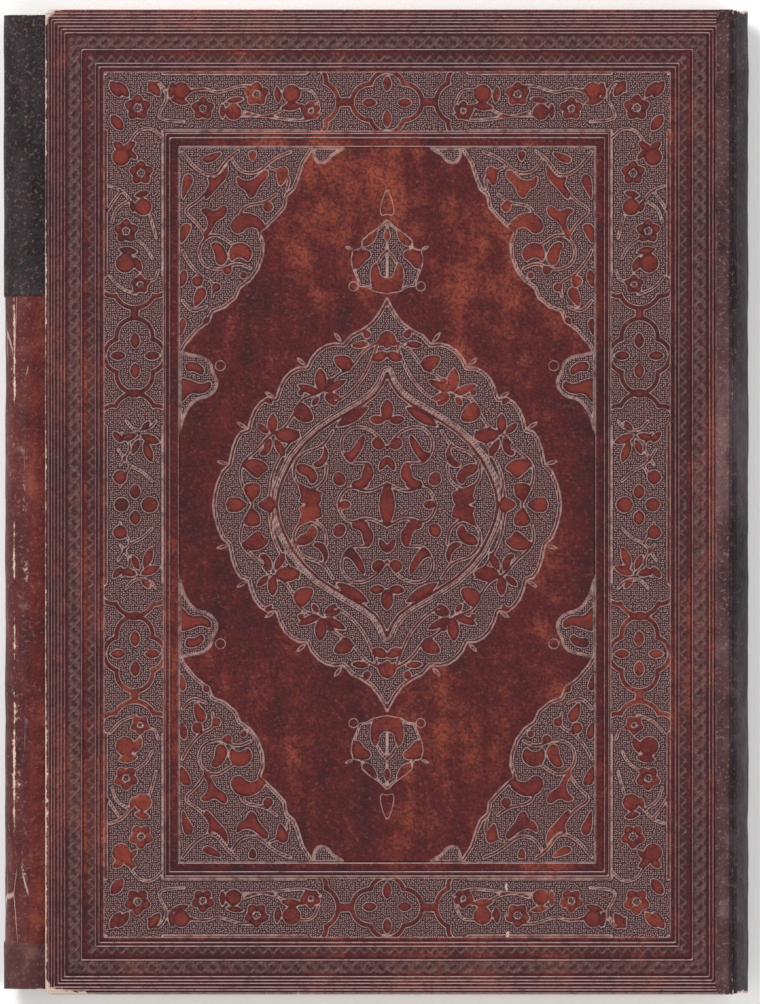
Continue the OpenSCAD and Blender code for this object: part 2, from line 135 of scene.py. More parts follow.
class Field:
    """A signed distance over the quarter, kept as the least of the shapes drawn into it."""

    def __init__(self):
        self.d = np.full(RU.shape, 6.0)

    def _add(self, where, d):
        self.d[where] = np.minimum(self.d[where], d)

    def shape(self, points, rounds=2):
        p = place(points)
        p = soften(p, rounds) if rounds else p
        s = near(p, 4)
        self._add(s, shape_distance(RU[s], RV[s], p))

    def stem(self, points, half=0.42, rounds=3):
        """A line of even thickness along a softened path: distance to the path less half its width."""
        p = soften(place(points), rounds, closed=False)
        s = near(p, 4)
        self._add(s, line_distance(RU[s], RV[s], p) - half)

    def leaf(self, a, b, wide):
        """A pointed leaf from a to b: the overlap of two equal circles that both pass through a and b."""
        (ax, ay), (bx, by) = place([a, b])
        h, w = math.hypot(bx - ax, by - ay) / 2, wide * UNIT / 2
        r = (h * h + w * w) / (2 * w)
        nx, ny = -(by - ay) / (2 * h) * (r - w), (bx - ax) / (2 * h) * (r - w)
        mx, my = (ax + bx) / 2, (ay + by) / 2
        s = near([[ax, ay], [bx, by]], 5)
        u, v = RU[s], RV[s]
        d1 = np.hypot(u - mx - nx, v - my - ny)
        d2 = np.hypot(u - mx + nx, v - my + ny)
        self._add(s, np.maximum(d1, d2) - r)

    def disc(self, at, radius):
        c = place([at])
        s = near(c, radius * UNIT + 4)
        self._add(s, np.hypot(RU[s] - c[0, 0], RV[s] - c[0, 1]) - radius * UNIT)

    def flower(self, at, radius, petals=5, turn=90.0):
        """A rim of petals round a pierced eye: radius times 0.88 + 0.12 cos(petals x angle), less the eye and the slits between petals."""
        c = place([at])
        s = near(c, radius * UNIT + 4)
        u, v = RU[s] - c[0, 0], RV[s] - c[0, 1]
        rho, a = np.hypot(u, v), np.arctan2(v, u) - math.radians(turn)
        r = radius * UNIT
        rim = rho - r * (0.88 + 0.12 * np.cos(petals * a))
        eye = r * 0.29 * (1 + 0.25 * np.cos(petals * a)) - rho
        slit = 0.07 - np.abs(np.sin(petals * a / 2 + math.pi / 2)) * rho * 0.45
        slit = np.where(rho < r * 0.75, slit, -1.0)
        self._add(s, np.maximum(rim, np.maximum(eye, slit)))

    def ribbon(self, d, half):
        """A band of even width along the outline whose signed distance is d."""
        self.d = np.minimum(self.d, np.abs(d) - half)


def mirrored(points):
    """A quarter's outline, from the vertical middle line to the horizontal one, made into a whole loop about the centre."""
    p = place(points)
    p[0, 0] = 0
    p[-1, 1] = 0
    right = np.concatenate([p, (p * [1, -1])[::-1][1:]])
    return np.concatenate([right, (right * [-1, 1])[::-1][1:-1]])


# ---------------------------------------------------------------- the design

island = Field()
ground = np.full(RU.shape, 6.0)

# Medallion: lobed outline, pointed oval inside it, leaves in the ring and in the oval
LOBES = [
    (386, 296), (382, 304), (377, 313), (370, 322), (360, 329), (350, 334), (342, 343),
    (334, 342), (325, 344), (317, 349), (310, 357), (306, 366),
    (298, 366), (290, 370), (283, 377), (278, 387), (275, 397),
    (267, 396), (259, 401), (253, 409), (249, 419), (247, 428),
    (240, 430), (235, 437), (231, 448), (228, 463),
    (221, 470), (216, 482), (213, 494), (212, 503.5),
]
OVAL = [
    (386, 372), (381, 384), (374, 394), (362, 403), (348, 411), (333, 420), (318, 430),
    (304, 443), (292, 458), (283, 476), (278, 490), (276, 503.5),
]
medallion = shape_distance(RU, RV, mirrored(LOBES))
oval = shape_distance(RU, RV, mirrored(OVAL))
ground = np.minimum(ground, medallion)
island.ribbon(medallion + 0.8, 0.42)
island.ribbon(oval, 0.55)
island.ribbon(oval - 1.9, 0.35)

for stem in [
    [(379, 340), (362, 350), (350, 368), (336, 374), (320, 392), (300, 398), (294, 412), (284, 428),
     (268, 434), (258, 448), (240, 462), (240, 482), (252, 503)],
    [(386, 448), (374, 430), (352, 424), (338, 440), (346, 462), (364, 462)],
    [(332, 430), (322, 446), (300, 452), (290, 472), (304, 492), (324, 482), (326, 464)],
    [(386, 482), (366, 492), (348, 484), (336, 500), (338, 520)],
    [(376, 345), (366, 372), (350, 392), (334, 402)],
    [(298, 430), (284, 448), (272, 470), (268, 500)],
]:
    island.stem(stem)
for a, b, w in [
    ((372, 360), (386, 352), 10), ((386, 330), (378, 346), 9), ((350, 345), (368, 343), 7),
    ((321, 392), (319, 367), 12), ((320, 393), (296, 384), 8), ((323, 391), (346, 379), 8),
    ((323, 395), (336, 405), 6), ((318, 396), (311, 405), 6), ((324, 393), (340, 397), 6),
    ((272, 433), (272, 412), 10), ((274, 434), (300, 435), 15), ((270, 437), (264, 455), 8),
    ((274, 438), (284, 456), 8), ((268, 433), (256, 422), 7), ((252, 498), (252, 483), 15),
    ((245, 503.5), (226, 503.5), 15), ((259, 503.5), (276, 503.5), 12), ((335, 426), (368, 406), 11),
    ((386, 398), (386, 420), 13), ((384, 420), (368, 418), 9), ((386, 480), (386, 530), 16),
    ((368, 484), (350, 484), 8), ((298, 500), (322, 492), 13), ((306, 503), (322, 512), 10),
    ((264, 396), (272, 404), 5), ((378, 470), (386, 455), 7), ((350, 503), (338, 503), 8),
]:
    island.leaf(a, b, w)
for shape in [
    [(331, 356), (341, 354), (351, 357), (352, 366), (348, 372), (337, 368)],
    [(292, 408), (301, 400), (310, 408), (314, 420), (304, 422), (294, 418)],
    [(240, 463), (250, 457), (262, 459), (270, 468), (262, 472), (258, 479), (250, 473)],
    [(310, 463), (319, 459), (324, 449), (319, 440), (328, 449), (327, 460), (318, 468)],
    [(294, 464), (304, 462), (314, 468), (318, 478), (310, 485), (306, 475), (298, 473)],
    [(342, 452), (350, 450), (356, 440), (364, 431), (364, 442), (358, 454), (350, 462)],
    [(366, 459), (372, 466), (373, 476), (366, 484), (352, 488), (350, 480), (360, 478), (362, 468)],
    [(372, 436), (381, 438), (384, 446), (378, 450), (370, 445)],
    [(334, 470), (343, 472), (346, 482), (338, 486), (331, 480)],
    [(250, 500), (242, 484), (252, 481), (262, 484), (254, 500)],
    [(247, 501), (229, 494), (225, 503), (226, 510), (247, 508)],
    [(257, 501), (271, 494), (275, 503), (273, 510), (257, 508)],
    [(296, 480), (306, 486), (318, 490), (322, 500), (312, 508), (302, 500)],
]:
    island.shape(shape)
for at, r in [((366, 334), 4), ((386, 344), 4), ((300, 392), 3), ((262, 452), 3), ((330, 380), 3)]:
    island.disc(at, r)

# Spears that stand out from the cusps of the lobes
field_tools = Field()
for a, b in [((341, 342), (333, 332)), ((305, 365), (296, 357)), ((274, 397), (264, 391)),
             ((247, 428), (236, 421)), ((228, 463), (216, 460))]:
    field_tools.leaf(a, b, 3.2)

# Corner pieces of the field
field_a, field_b = 75.9, 130.5
CORNER = [
    (150, 120), (316, 120), (312, 150), (303, 164), (298, 180), (294, 190), (287, 196), (285, 208), (277, 217),
    (267, 227), (260, 232), (264, 243), (263, 256), (258, 270), (250, 281), (240, 288),
    (236, 298), (224, 308), (213, 312), (209, 322), (197, 331), (186, 344), (178, 358), (150, 358),
]
corner = shape_distance(RU, RV, place(CORNER))
in_field = np.maximum(RU - field_a, RV - field_b)
ground = np.minimum(ground, np.maximum(corner, in_field))
inner_ribbon = np.maximum(np.abs(corner + 0.75) - 0.38, in_field)
island.d = np.minimum(island.d, inner_ribbon)
for stem in [
    [(182, 152), (196, 170), (214, 178), (226, 160), (238, 151)],
    [(232, 160), (240, 172), (256, 174), (274, 158), (290, 152)],
    [(212, 182), (200, 200), (182, 210), (196, 222), (204, 234)],
    [(276, 194), (264, 203), (246, 205), (238, 214), (252, 214), (262, 222)],
    [(232, 244), (214, 232), (198, 244), (200, 264), (220, 271), (236, 262), (250, 268)],
    [(182, 250), (188, 262), (200, 276), (214, 282), (212, 296)],
    [(270, 168), (290, 176), (286, 190)],
    [(182, 300), (192, 312), (206, 306)],
]:
    island.stem(stem)
for shape in [
    [(229, 226), (234, 216), (245, 212), (256, 216), (266, 226), (263, 236), (256, 228), (247, 227), (241, 234), (233, 233)],
    [(235, 174), (243, 181), (252, 180), (266, 168), (269, 176), (258, 187), (255, 197), (248, 199), (245, 190), (237, 187)],
    [(275, 170), (284, 165), (289, 172), (284, 182), (279, 188), (276, 178)],
    [(228, 162), (227, 178), (217, 188), (206, 201), (203, 197), (210, 186), (206, 176), (214, 179), (222, 172)],
    [(182, 176), (190, 173), (194, 181), (188, 190), (181, 204)],
    [(198, 210), (207, 207), (214, 212), (222, 205), (228, 207), (225, 217), (216, 221), (211, 231), (205, 239),
     (202, 236), (208, 225), (206, 216)],
    [(179, 224), (193, 223), (187, 238), (179, 246)],
    [(209, 243), (218, 241), (225, 249), (228, 259), (222, 266), (215, 263), (214, 252)],
    [(228, 250), (235, 242), (246, 243), (253, 252), (248, 263), (243, 258), (236, 257), (230, 263)],
    [(196, 288), (204, 286), (207, 294), (201, 302), (194, 308), (193, 298)],
    [(179, 272), (186, 268), (188, 280), (179, 290)],
    [(246, 151), (258, 151), (252, 165)],
    [(201, 158), (210, 154), (224, 151), (214, 162), (204, 164)],
    [(179, 316), (187, 320), (184, 331), (179, 338)],
]:
    island.shape(shape)
for at, r in [((267.5, 207), 5), ((227, 270), 4.5), ((197, 281), 5.5), ((216, 287), 4.5), ((243, 275), 3.5), ((206, 320), 3.5)]:
    island.disc(at, r)

# Half palmettes that hang from the field's edge beside the corner pieces
for shape in [
    [(312, 146), (345, 146), (338, 152), (331, 155), (327, 162), (318, 164), (313, 158)],
    [(176, 350), (190, 354), (203, 356), (211, 363), (212, 371), (217, 379), (216, 388), (208, 396), (197, 398),
     (190, 404), (184, 414), (180, 428), (176, 440)],
]:
    p = soften(place(shape), 1)
    d = np.maximum(shape_distance(RU, RV, p), in_field)
    field_tools.d = np.minimum(field_tools.d, np.maximum(np.abs(d) - 0.28, in_field))
    ground = np.minimum(ground, d + 0.5)
field_tools.disc((220, 365), 5)
island.shape([(184, 361), (196, 361), (205, 368), (202, 376), (194, 370), (186, 372)])
island.shape([(178, 376), (190, 379), (201, 384), (210, 379), (212, 387), (202, 394), (190, 392), (184, 400), (178, 404)])
island.leaf((179, 408), (179, 426), 5)

# Pendants above and below the medallion
PENDANT = [
    (386, 219), (378, 227), (368, 234), (361, 240), (360, 248), (352, 250), (350, 258), (351, 267),
    (356, 279), (358, 286), (366, 287), (372, 291), (386, 293.5), (398, 293.5), (398, 219),
]
pendant = shape_distance(RU, RV, place(PENDANT))
ground = np.minimum(ground, pendant)
island.ribbon(np.maximum(pendant + 0.4, -RU), 0.28)
for shape in [
    [(351, 258), (353, 251), (368, 249), (371, 256), (364, 261), (357, 270), (352, 266)],
    [(369, 270), (374, 261), (378, 268), (379, 275), (386, 279), (392, 279), (392, 293), (378, 292), (370, 287)],
    [(383, 240), (383, 232), (386, 227), (389, 232), (389, 240)],
    [(362, 247), (363, 240), (372, 233), (378, 230), (372, 244)],
]:
    island.shape(shape, 1)
island.stem([(377, 262), (380, 256), (386, 250)])
field_tools.shape([(386, 188), (381, 200), (379, 210), (380, 216), (386, 214), (392, 216), (392, 190)], 1)
field_tools.leaf((344, 246), (352, 249.5), 2.6)
field_tools.disc((352.5, 286), 4.6)

# Floral border, its long compartments, rosettes and joining bars
FRAME = np.maximum(RU, RV - FRAME_STEP)
IN, OUT = 81.8, 103.5
band = np.maximum(IN - FRAME, FRAME - OUT)
ground = np.minimum(ground, band)


def compartment(u, v, c, half_u, half_v, r_u, r_v):
    """Union of four discs about c, two along each axis: the least of their signed distances."""
    a = np.hypot(np.abs(u - c[0]) - half_u, v - c[1]) - r_u
    b = np.hypot(u - c[0], np.abs(v - c[1]) - half_v) - r_v
    return np.minimum(a, b)


BAND_U, BAND_V = 92.3, 147.2
top_rose = compartment(RU, RV, (0, BAND_V), 6.2, 5.0, 6.6, 6.2)
side_rose = compartment(RU, RV, (BAND_U, 54.5), 4.9, 7.0, 6.2, 6.6)


def lobed_end(along, across, start):
    """A compartment that ends in a round lobe between two shoulders: a slab up to start, a disc past it and two small discs beside that."""
    slab = np.maximum(start - along, np.abs(across) - 10.9)
    lobe = np.hypot(along - start, across) - 7.6
    shoulder = np.hypot(along - start - 1.2, np.abs(across) - 8.0) - 4.4
    return np.minimum(np.minimum(slab, lobe), shoulder)


corner_room = np.minimum(
    lobed_end(RU, RV - BAND_V, 25.5), lobed_end(RV, RU - BAND_U, 79.5)
)
side_room = lobed_end(-RV, RU - BAND_U, -33.0)
for room in (top_rose, side_rose, corner_room, side_room):
    inside_band = np.maximum(np.abs(room) - 0.8, band + 0.1)
    island.d = np.minimum(island.d, inside_band)
bars = np.minimum(
    np.maximum(np.abs(RU - 15.3) - 2.6, np.abs(RV - BAND_V) - 1.5),
    np.minimum(
        np.maximum(np.abs(RV - 69.8) - 2.0, np.abs(RU - BAND_U) - 1.5),
        np.maximum(np.abs(RV - 40.7) - 1.6, np.abs(RU - BAND_U) - 1.5),
    ),
)
island.d = np.minimum(island.d, bars)

for stem in [
    [(148, 92), (150, 84), (160, 81), (168, 98), (160, 110), (158, 120), (184, 122)],
    [(176, 100), (190, 92), (204, 88), (218, 94), (238, 86), (254, 86), (268, 94)],
    [(244, 112), (262, 118), (280, 112), (290, 104)], [(240, 116), (262, 116), (286, 120), (306, 121), (320, 114)],
    [(170, 84), (186, 90), (206, 90)], [(296, 90), (312, 90), (318, 104)],
    [(130, 142), (138, 130), (152, 128), (162, 138)], [(110, 186), (122, 190), (130, 200), (140, 214)],
    [(150, 216), (154, 230), (156, 238)], [(134, 238), (146, 246), (152, 258)],
    [(108, 210), (114, 200), (120, 192)], [(112, 222), (116, 208), (130, 200)],
    [(110, 276), (120, 288), (136, 294)], [(136, 278), (154, 282), (158, 270)],
    [(126, 420), (134, 430), (150, 428), (156, 420)], [(118, 448), (128, 464), (142, 470), (152, 480)],
    [(122, 432), (132, 446), (120, 464)], [(120, 486), (122, 478), (130, 466)],
]:
    island.stem(stem, 0.36)
for a, b, w in [
    ((110, 81), (121, 98), 10), ((117, 82), (129, 98), 9), ((148, 81), (160, 97), 10), ((111, 115), (123, 131), 11),
    ((170, 99), (173, 82), 7), ((170, 99), (189, 104), 7), ((222, 120), (222, 103), 6), ((225, 102), (244, 99), 6),
    ((278, 104), (276, 86), 7), ((280, 108), (301, 106), 8), ((301, 104), (305, 118), 6),
    ((113, 142), (124, 150), 8), ((122, 152), (136, 142), 8), ((134, 196), (150, 192), 7), ((131, 200), (134, 213), 6),
    ((118, 249), (138, 252), 8), ((134, 256), (141, 272), 8), ((128, 150), (137, 160), 6),
    ((137, 434), (120, 438), 8), ((140, 434), (160, 442), 9), ((139, 438), (132, 454), 7), ((144, 440), (152, 462), 9),
    ((141, 430), (150, 420), 6), ((113, 430), (122, 442), 7),
    ((135, 498), (135, 483), 20), ((129, 503.5), (114, 503.5), 16), ((141, 503.5), (158, 503.5), 18),
    ((112, 476), (128, 472), 6),
    ((386, 92), (386, 76), 9), ((376, 103), (361, 103), 9), ((135, 348), (135, 332), 10),
    ((126, 355), (110, 355), 9), ((144, 355), (160, 355), 9), ((135, 362), (135, 378), 10), ((386, 110), (386, 128), 9),
]:
    island.leaf(a, b, w)
for at, r in [((137.5, 108), 13.5), ((202.5, 109), 12), ((256, 94.5), 12.5), ((310, 111), 10),
              ((141, 173), 12.5), ((126, 231), 12.5), ((140, 284), 10)]:
    island.flower(at, r)
for at, r in [((181, 91), 8.5), ((233, 112.5), 8), ((291, 94), 9), ((121, 157), 9), ((143, 207), 8.5), ((125, 263), 9.5),
              ((120, 476), 7)]:
    island.disc(at, r)


def cable(along, across, pitch, height, sway, half):
    """Leaning S stamps: for each, the distance to the curve along = k pitch + sway sin(pi across / height)."""
    t = np.clip(across / height, -0.5, 0.5)
    q = (along + sway * np.sin(math.pi * t) + 0.55 * sway * np.sin(3 * math.pi * t)) / pitch
    d = np.abs(q - np.round(q)) * pitch * 0.62 - half
    return np.maximum(d, np.abs(across) - height / 2)


def cable_frame(middle, pitch, height, sway, half):
    """The stamps run round a frame: up its sides where the frame's own distance comes from the width, along its ends elsewhere."""
    across = FRAME - middle
    along = np.where(RU > RV - FRAME_STEP, RV, RU)
    return cable(along, across, pitch, height, sway, half)


def plait_frame(middle, pitch, swing, half, strands):
    """One or two strands that swing to and fro across a frame's band: distance to across = swing sin(2 pi along / pitch), and to its mirror."""
    across = FRAME - middle
    along = np.where(RU > RV - FRAME_STEP, RV, RU)
    wave = swing * np.sin(2 * math.pi * along / pitch)
    slope = np.hypot(1, swing * 2 * math.pi / pitch * np.cos(2 * math.pi * along / pitch))
    d = np.abs(across - wave) / slope
    if strands == 2:
        d = np.minimum(d, np.abs(across + wave) / slope)
    return d - half


cables = np.minimum(cable_frame(114.4, 4.4, 3.6, 1.3, 0.3), plait_frame(108.3, 3.7, 0.85, 0.26, 1))
cables = np.minimum(cables, plait_frame(114.4, 8.8, 1.75, 0.3, 2))


def sample(field, x, y, pad):
    """A quarter's field read at design places by straight interpolation, mirrored about both middle lines."""
    u = np.clip(np.abs(x) / STEP, 0, field.shape[0] - 1.001)
    v = np.clip(np.abs(y) / STEP, 0, field.shape[1] - 1.001)
    i, j = u.astype(int), v.astype(int)
    a, b = u - i, v - j
    low = field[i, j] * (1 - b) + field[i, j + 1] * b
    high = field[i + 1, j] * (1 - b) + field[i + 1, j + 1] * b
    return np.clip(low * (1 - a) + high * a, -pad, pad)


def ease(d, a, b):
    """0 before a and 1 after b, with a smooth step 3t^2 - 2t^3 between them."""
    t = np.clip((d - a) / (b - a), 0, 1)
    return t * t * (3 - 2 * t)


def ripple(x, y, scale, seed=0.0):
    """Gentle unevenness between about -1 and 1, a sum of six sine waves in different directions."""
    total = np.zeros(np.broadcast(x, y).shape)
    for k in range(6):
        angle = seed + k * 1.31
        length = scale * (0.55 + 0.23 * k)
        total += np.sin((x * math.cos(angle) + y * math.sin(angle)) / length * 2 * math.pi + seed * 3 + k * 2.1)
    return total / 3.2


# ---------------------------------------------------------------- meshes

def add_piece(name, points, faces, material, attributes=None, smooth=True):
    mesh = bpy.data.meshes.new(name)
    mesh.from_pydata(points.reshape(-1, 3), [], faces)
    for key, values in (attributes or {}).items():
        layer = mesh.attributes.new(key, "FLOAT", "POINT")
        layer.data.foreach_set("value", np.ascontiguousarray(values, np.float32).ravel())
    if smooth:
        mesh.shade_smooth()
    mesh.materials.append(material)
    piece = bpy.data.objects.new(name, mesh)
    bpy.context.scene.collection.objects.link(piece)
    return piece


def grid_faces(n, m, wrap=False, flip=False):
    """Quads of an n by m grid of points; wrap joins the last row back to the first."""
    i = np.arange(n if wrap else n - 1)[:, None]
    j = np.arange(m - 1)[None, :]
    k = (i + 1) % n
    quads = np.stack([i * m + j, k * m + j, k * m + j + 1, i * m + j + 1], -1).reshape(-1, 4)
    return quads[:, ::-1] if flip else quads


def add_grid(name, points, material, attributes=None, wrap=False, flip=False):
    n, m = points.shape[:2]
    return add_piece(name, points, grid_faces(n, m, wrap, flip), material, attributes)


# ---------------------------------------------------------------- materials

def srgb(r, g, b):
    """A display colour from 0 to 255 as linear light."""
    c = np.array([r, g, b]) / 255
    return tuple(np.where(c <= 0.04045, c / 12.92, ((c + 0.055) / 1.055) ** 2.4)) + (1.0,)


class Net:
    """Short ways to add nodes to one tree. A tuple or number sets a socket, and anything else is linked to it."""

    def __init__(self, tree):
        self.tree = tree

    def add(self, kind, out=0, props=None, **inputs):
        node = self.tree.nodes.new("ShaderNode" + kind)
        for key, value in (props or {}).items():
            setattr(node, key, value)
        for key, value in inputs.items():
            key = key.replace("_", " ")
            socket = node.inputs[int(key[1:])] if key[0] == "i" and key[1:].isdigit() else node.inputs[key]
            self.put(socket, value)
        return node.outputs[out]

    def put(self, socket, value):
        if isinstance(value, (int, float, tuple)):
            socket.default_value = value
        else:
            self.tree.links.new(value, socket)

    def math(self, operation, a, b=0.0, clamp=False):
        return self.add("Math", 0, {"operation": operation, "use_clamp": clamp}, i0=a, i1=b)

    def mix(self, factor, a, b, blend="MIX"):
        return self.add("Mix", 2, {"data_type": "RGBA", "blend_type": blend}, i0=factor, i6=a, i7=b)

    def span(self, value, low, high, to_low=0.0, to_high=1.0):
        return self.add("MapRange", 0, {"interpolation_type": "SMOOTHSTEP"}, i0=value, i1=low, i2=high, i3=to_low, i4=to_high)

    def noise(self, vector, scale, detail=3.0, rough=0.55, out=0):
        return self.add("TexNoise", out, Vector=vector, Scale=scale, Detail=detail, Roughness=rough)

    def cells(self, vector, scale, out=0):
        return self.add("TexVoronoi", out, Vector=vector, Scale=scale)

    def stretch(self, vector, x, y, z):
        return self.add("Mapping", 0, Vector=vector, Scale=(x, y, z))

    def attribute(self, name):
        return self.add("Attribute", 2, {"attribute_name": name})


def new_material(name):
    material = bpy.data.materials.new(name)
    material.use_nodes = True
    tree = material.node_tree
    shader = tree.nodes["Principled BSDF"]
    shader.inputs["Specular IOR Level"].default_value = 0.22
    return material, Net(tree), shader


def grain_group():
    """Goatskin grain: small raised pebbles between creases, with pale flecks where the tops are rubbed."""
    group = bpy.data.node_groups.new("Goatskin grain", "ShaderNodeTree")
    group.interface.new_socket("Vector", in_out="INPUT", socket_type="NodeSocketVector")
    group.interface.new_socket("Scale", in_out="INPUT", socket_type="NodeSocketFloat")
    group.interface.new_socket("Height", in_out="OUTPUT", socket_type="NodeSocketFloat")
    group.interface.new_socket("Fleck", in_out="OUTPUT", socket_type="NodeSocketFloat")
    net = Net(group)
    entry = group.nodes.new("NodeGroupInput")
    leave = group.nodes.new("NodeGroupOutput")
    bend = net.noise(entry.outputs["Vector"], 260.0, 2.0, 0.5, 1)
    where = net.add("VectorMath", 0, {"operation": "MULTIPLY_ADD"}, i0=bend, i1=(0.0016, 0.0016, 0.0016), i2=entry.outputs["Vector"])
    cell = net.add("TexVoronoi", 0, Vector=where, Scale=entry.outputs["Scale"])
    fine = net.add("TexNoise", 0, Vector=entry.outputs["Vector"], Scale=2600.0, Detail=2.0)
    height = net.math("SUBTRACT", net.math("MULTIPLY", fine, 0.35), cell)
    net.put(leave.inputs["Height"], height)
    blotch = net.noise(entry.outputs["Vector"], 760.0, 3.0, 0.7)
    net.put(leave.inputs["Fleck"], net.span(blotch, 0.53, 0.72))
    return group


GRAIN = grain_group()


def use_grain(net, vector, scale):
    node = net.tree.nodes.new("ShaderNodeGroup")
    node.node_tree = GRAIN
    net.put(node.inputs["Vector"], vector)
    net.put(node.inputs["Scale"], scale)
    return node.outputs["Height"], node.outputs["Fleck"]


def bump(net, shader, height, distance, strength=1.0):
    net.put(shader.inputs["Normal"], net.add("Bump", 0, Strength=strength, Distance=distance, Height=height))


# Pale colour of leather rubbed bare, also used for painted highlight lines on the joint's crease and on the flap's top
# turn.
WEAR_AND_SHEEN_TINT = srgb(205, 178, 160)


def skin_colour(net, vector, dark, mid, light):
    """Old dyed skin: dark to light in soft clouds, with faint upright streaks where it was brushed and rubbed."""
    clouds = net.noise(vector, 14.0, 4.0, 0.6)
    streaks = net.noise(net.stretch(vector, 70.0, 9.0, 20.0), 1.0, 3.0, 0.6)
    mottle = net.noise(vector, 120.0, 4.0, 0.7)
    tone = net.math("ADD", net.math("MULTIPLY", clouds, 0.55), net.math("MULTIPLY", streaks, 0.45))
    tone = net.math("ADD", tone, net.math("MULTIPLY", net.math("SUBTRACT", mottle, 0.5), 0.45))
    lower = net.mix(net.span(tone, 0.34, 0.52), dark, mid)
    return net.mix(net.span(tone, 0.5, 0.68), lower, light), tone


def leather(name, dark, mid, light, scale=880.0, rough=0.5, fleck=0.35, depth=0.00016, cracked=False):
    material, net, shader = new_material(name)
    place_ = net.add("TexCoord", 3)
    colour, tone = skin_colour(net, place_, dark, mid, light)
    height, flecks = use_grain(net, place_, scale)
    colour = net.mix(net.math("MULTIPLY", flecks, fleck), colour, srgb(150, 112, 104))
    worn = net.attribute("worn")
    rag = net.noise(place_, 420.0, 4.0, 0.75)
    bare = net.span(net.math("ADD", worn, net.math("MULTIPLY", net.math("SUBTRACT", rag, 0.5), 0.9)), 0.42, 0.62)
    if cracked:
        lines = net.add("TexVoronoi", 0, {"feature": "DISTANCE_TO_EDGE"}, Vector=net.stretch(place_, 1.0, 0.16, 1.0), Scale=170.0)
        torn = net.math("MULTIPLY", net.span(lines, 0.035, 0.01), net.span(net.noise(place_, 24.0, 3.0), 0.52, 0.64))
        bare = net.math("MAXIMUM", bare, net.math("MULTIPLY", torn, 0.7))
        height = net.math("SUBTRACT", height, net.math("MULTIPLY", torn, 1.5))
    # Bare leather colour where the attribute is high: real wear, and on the joint's crease and the flap's top turn also
    # painted highlight.
    colour = net.mix(bare, colour, WEAR_AND_SHEEN_TINT)
    net.put(shader.inputs["Base Color"], colour)
    net.put(shader.inputs["Roughness"], net.span(tone, 0.3, 0.7, rough + 0.12, rough - 0.06))
    bump(net, shader, height, depth)
    return material


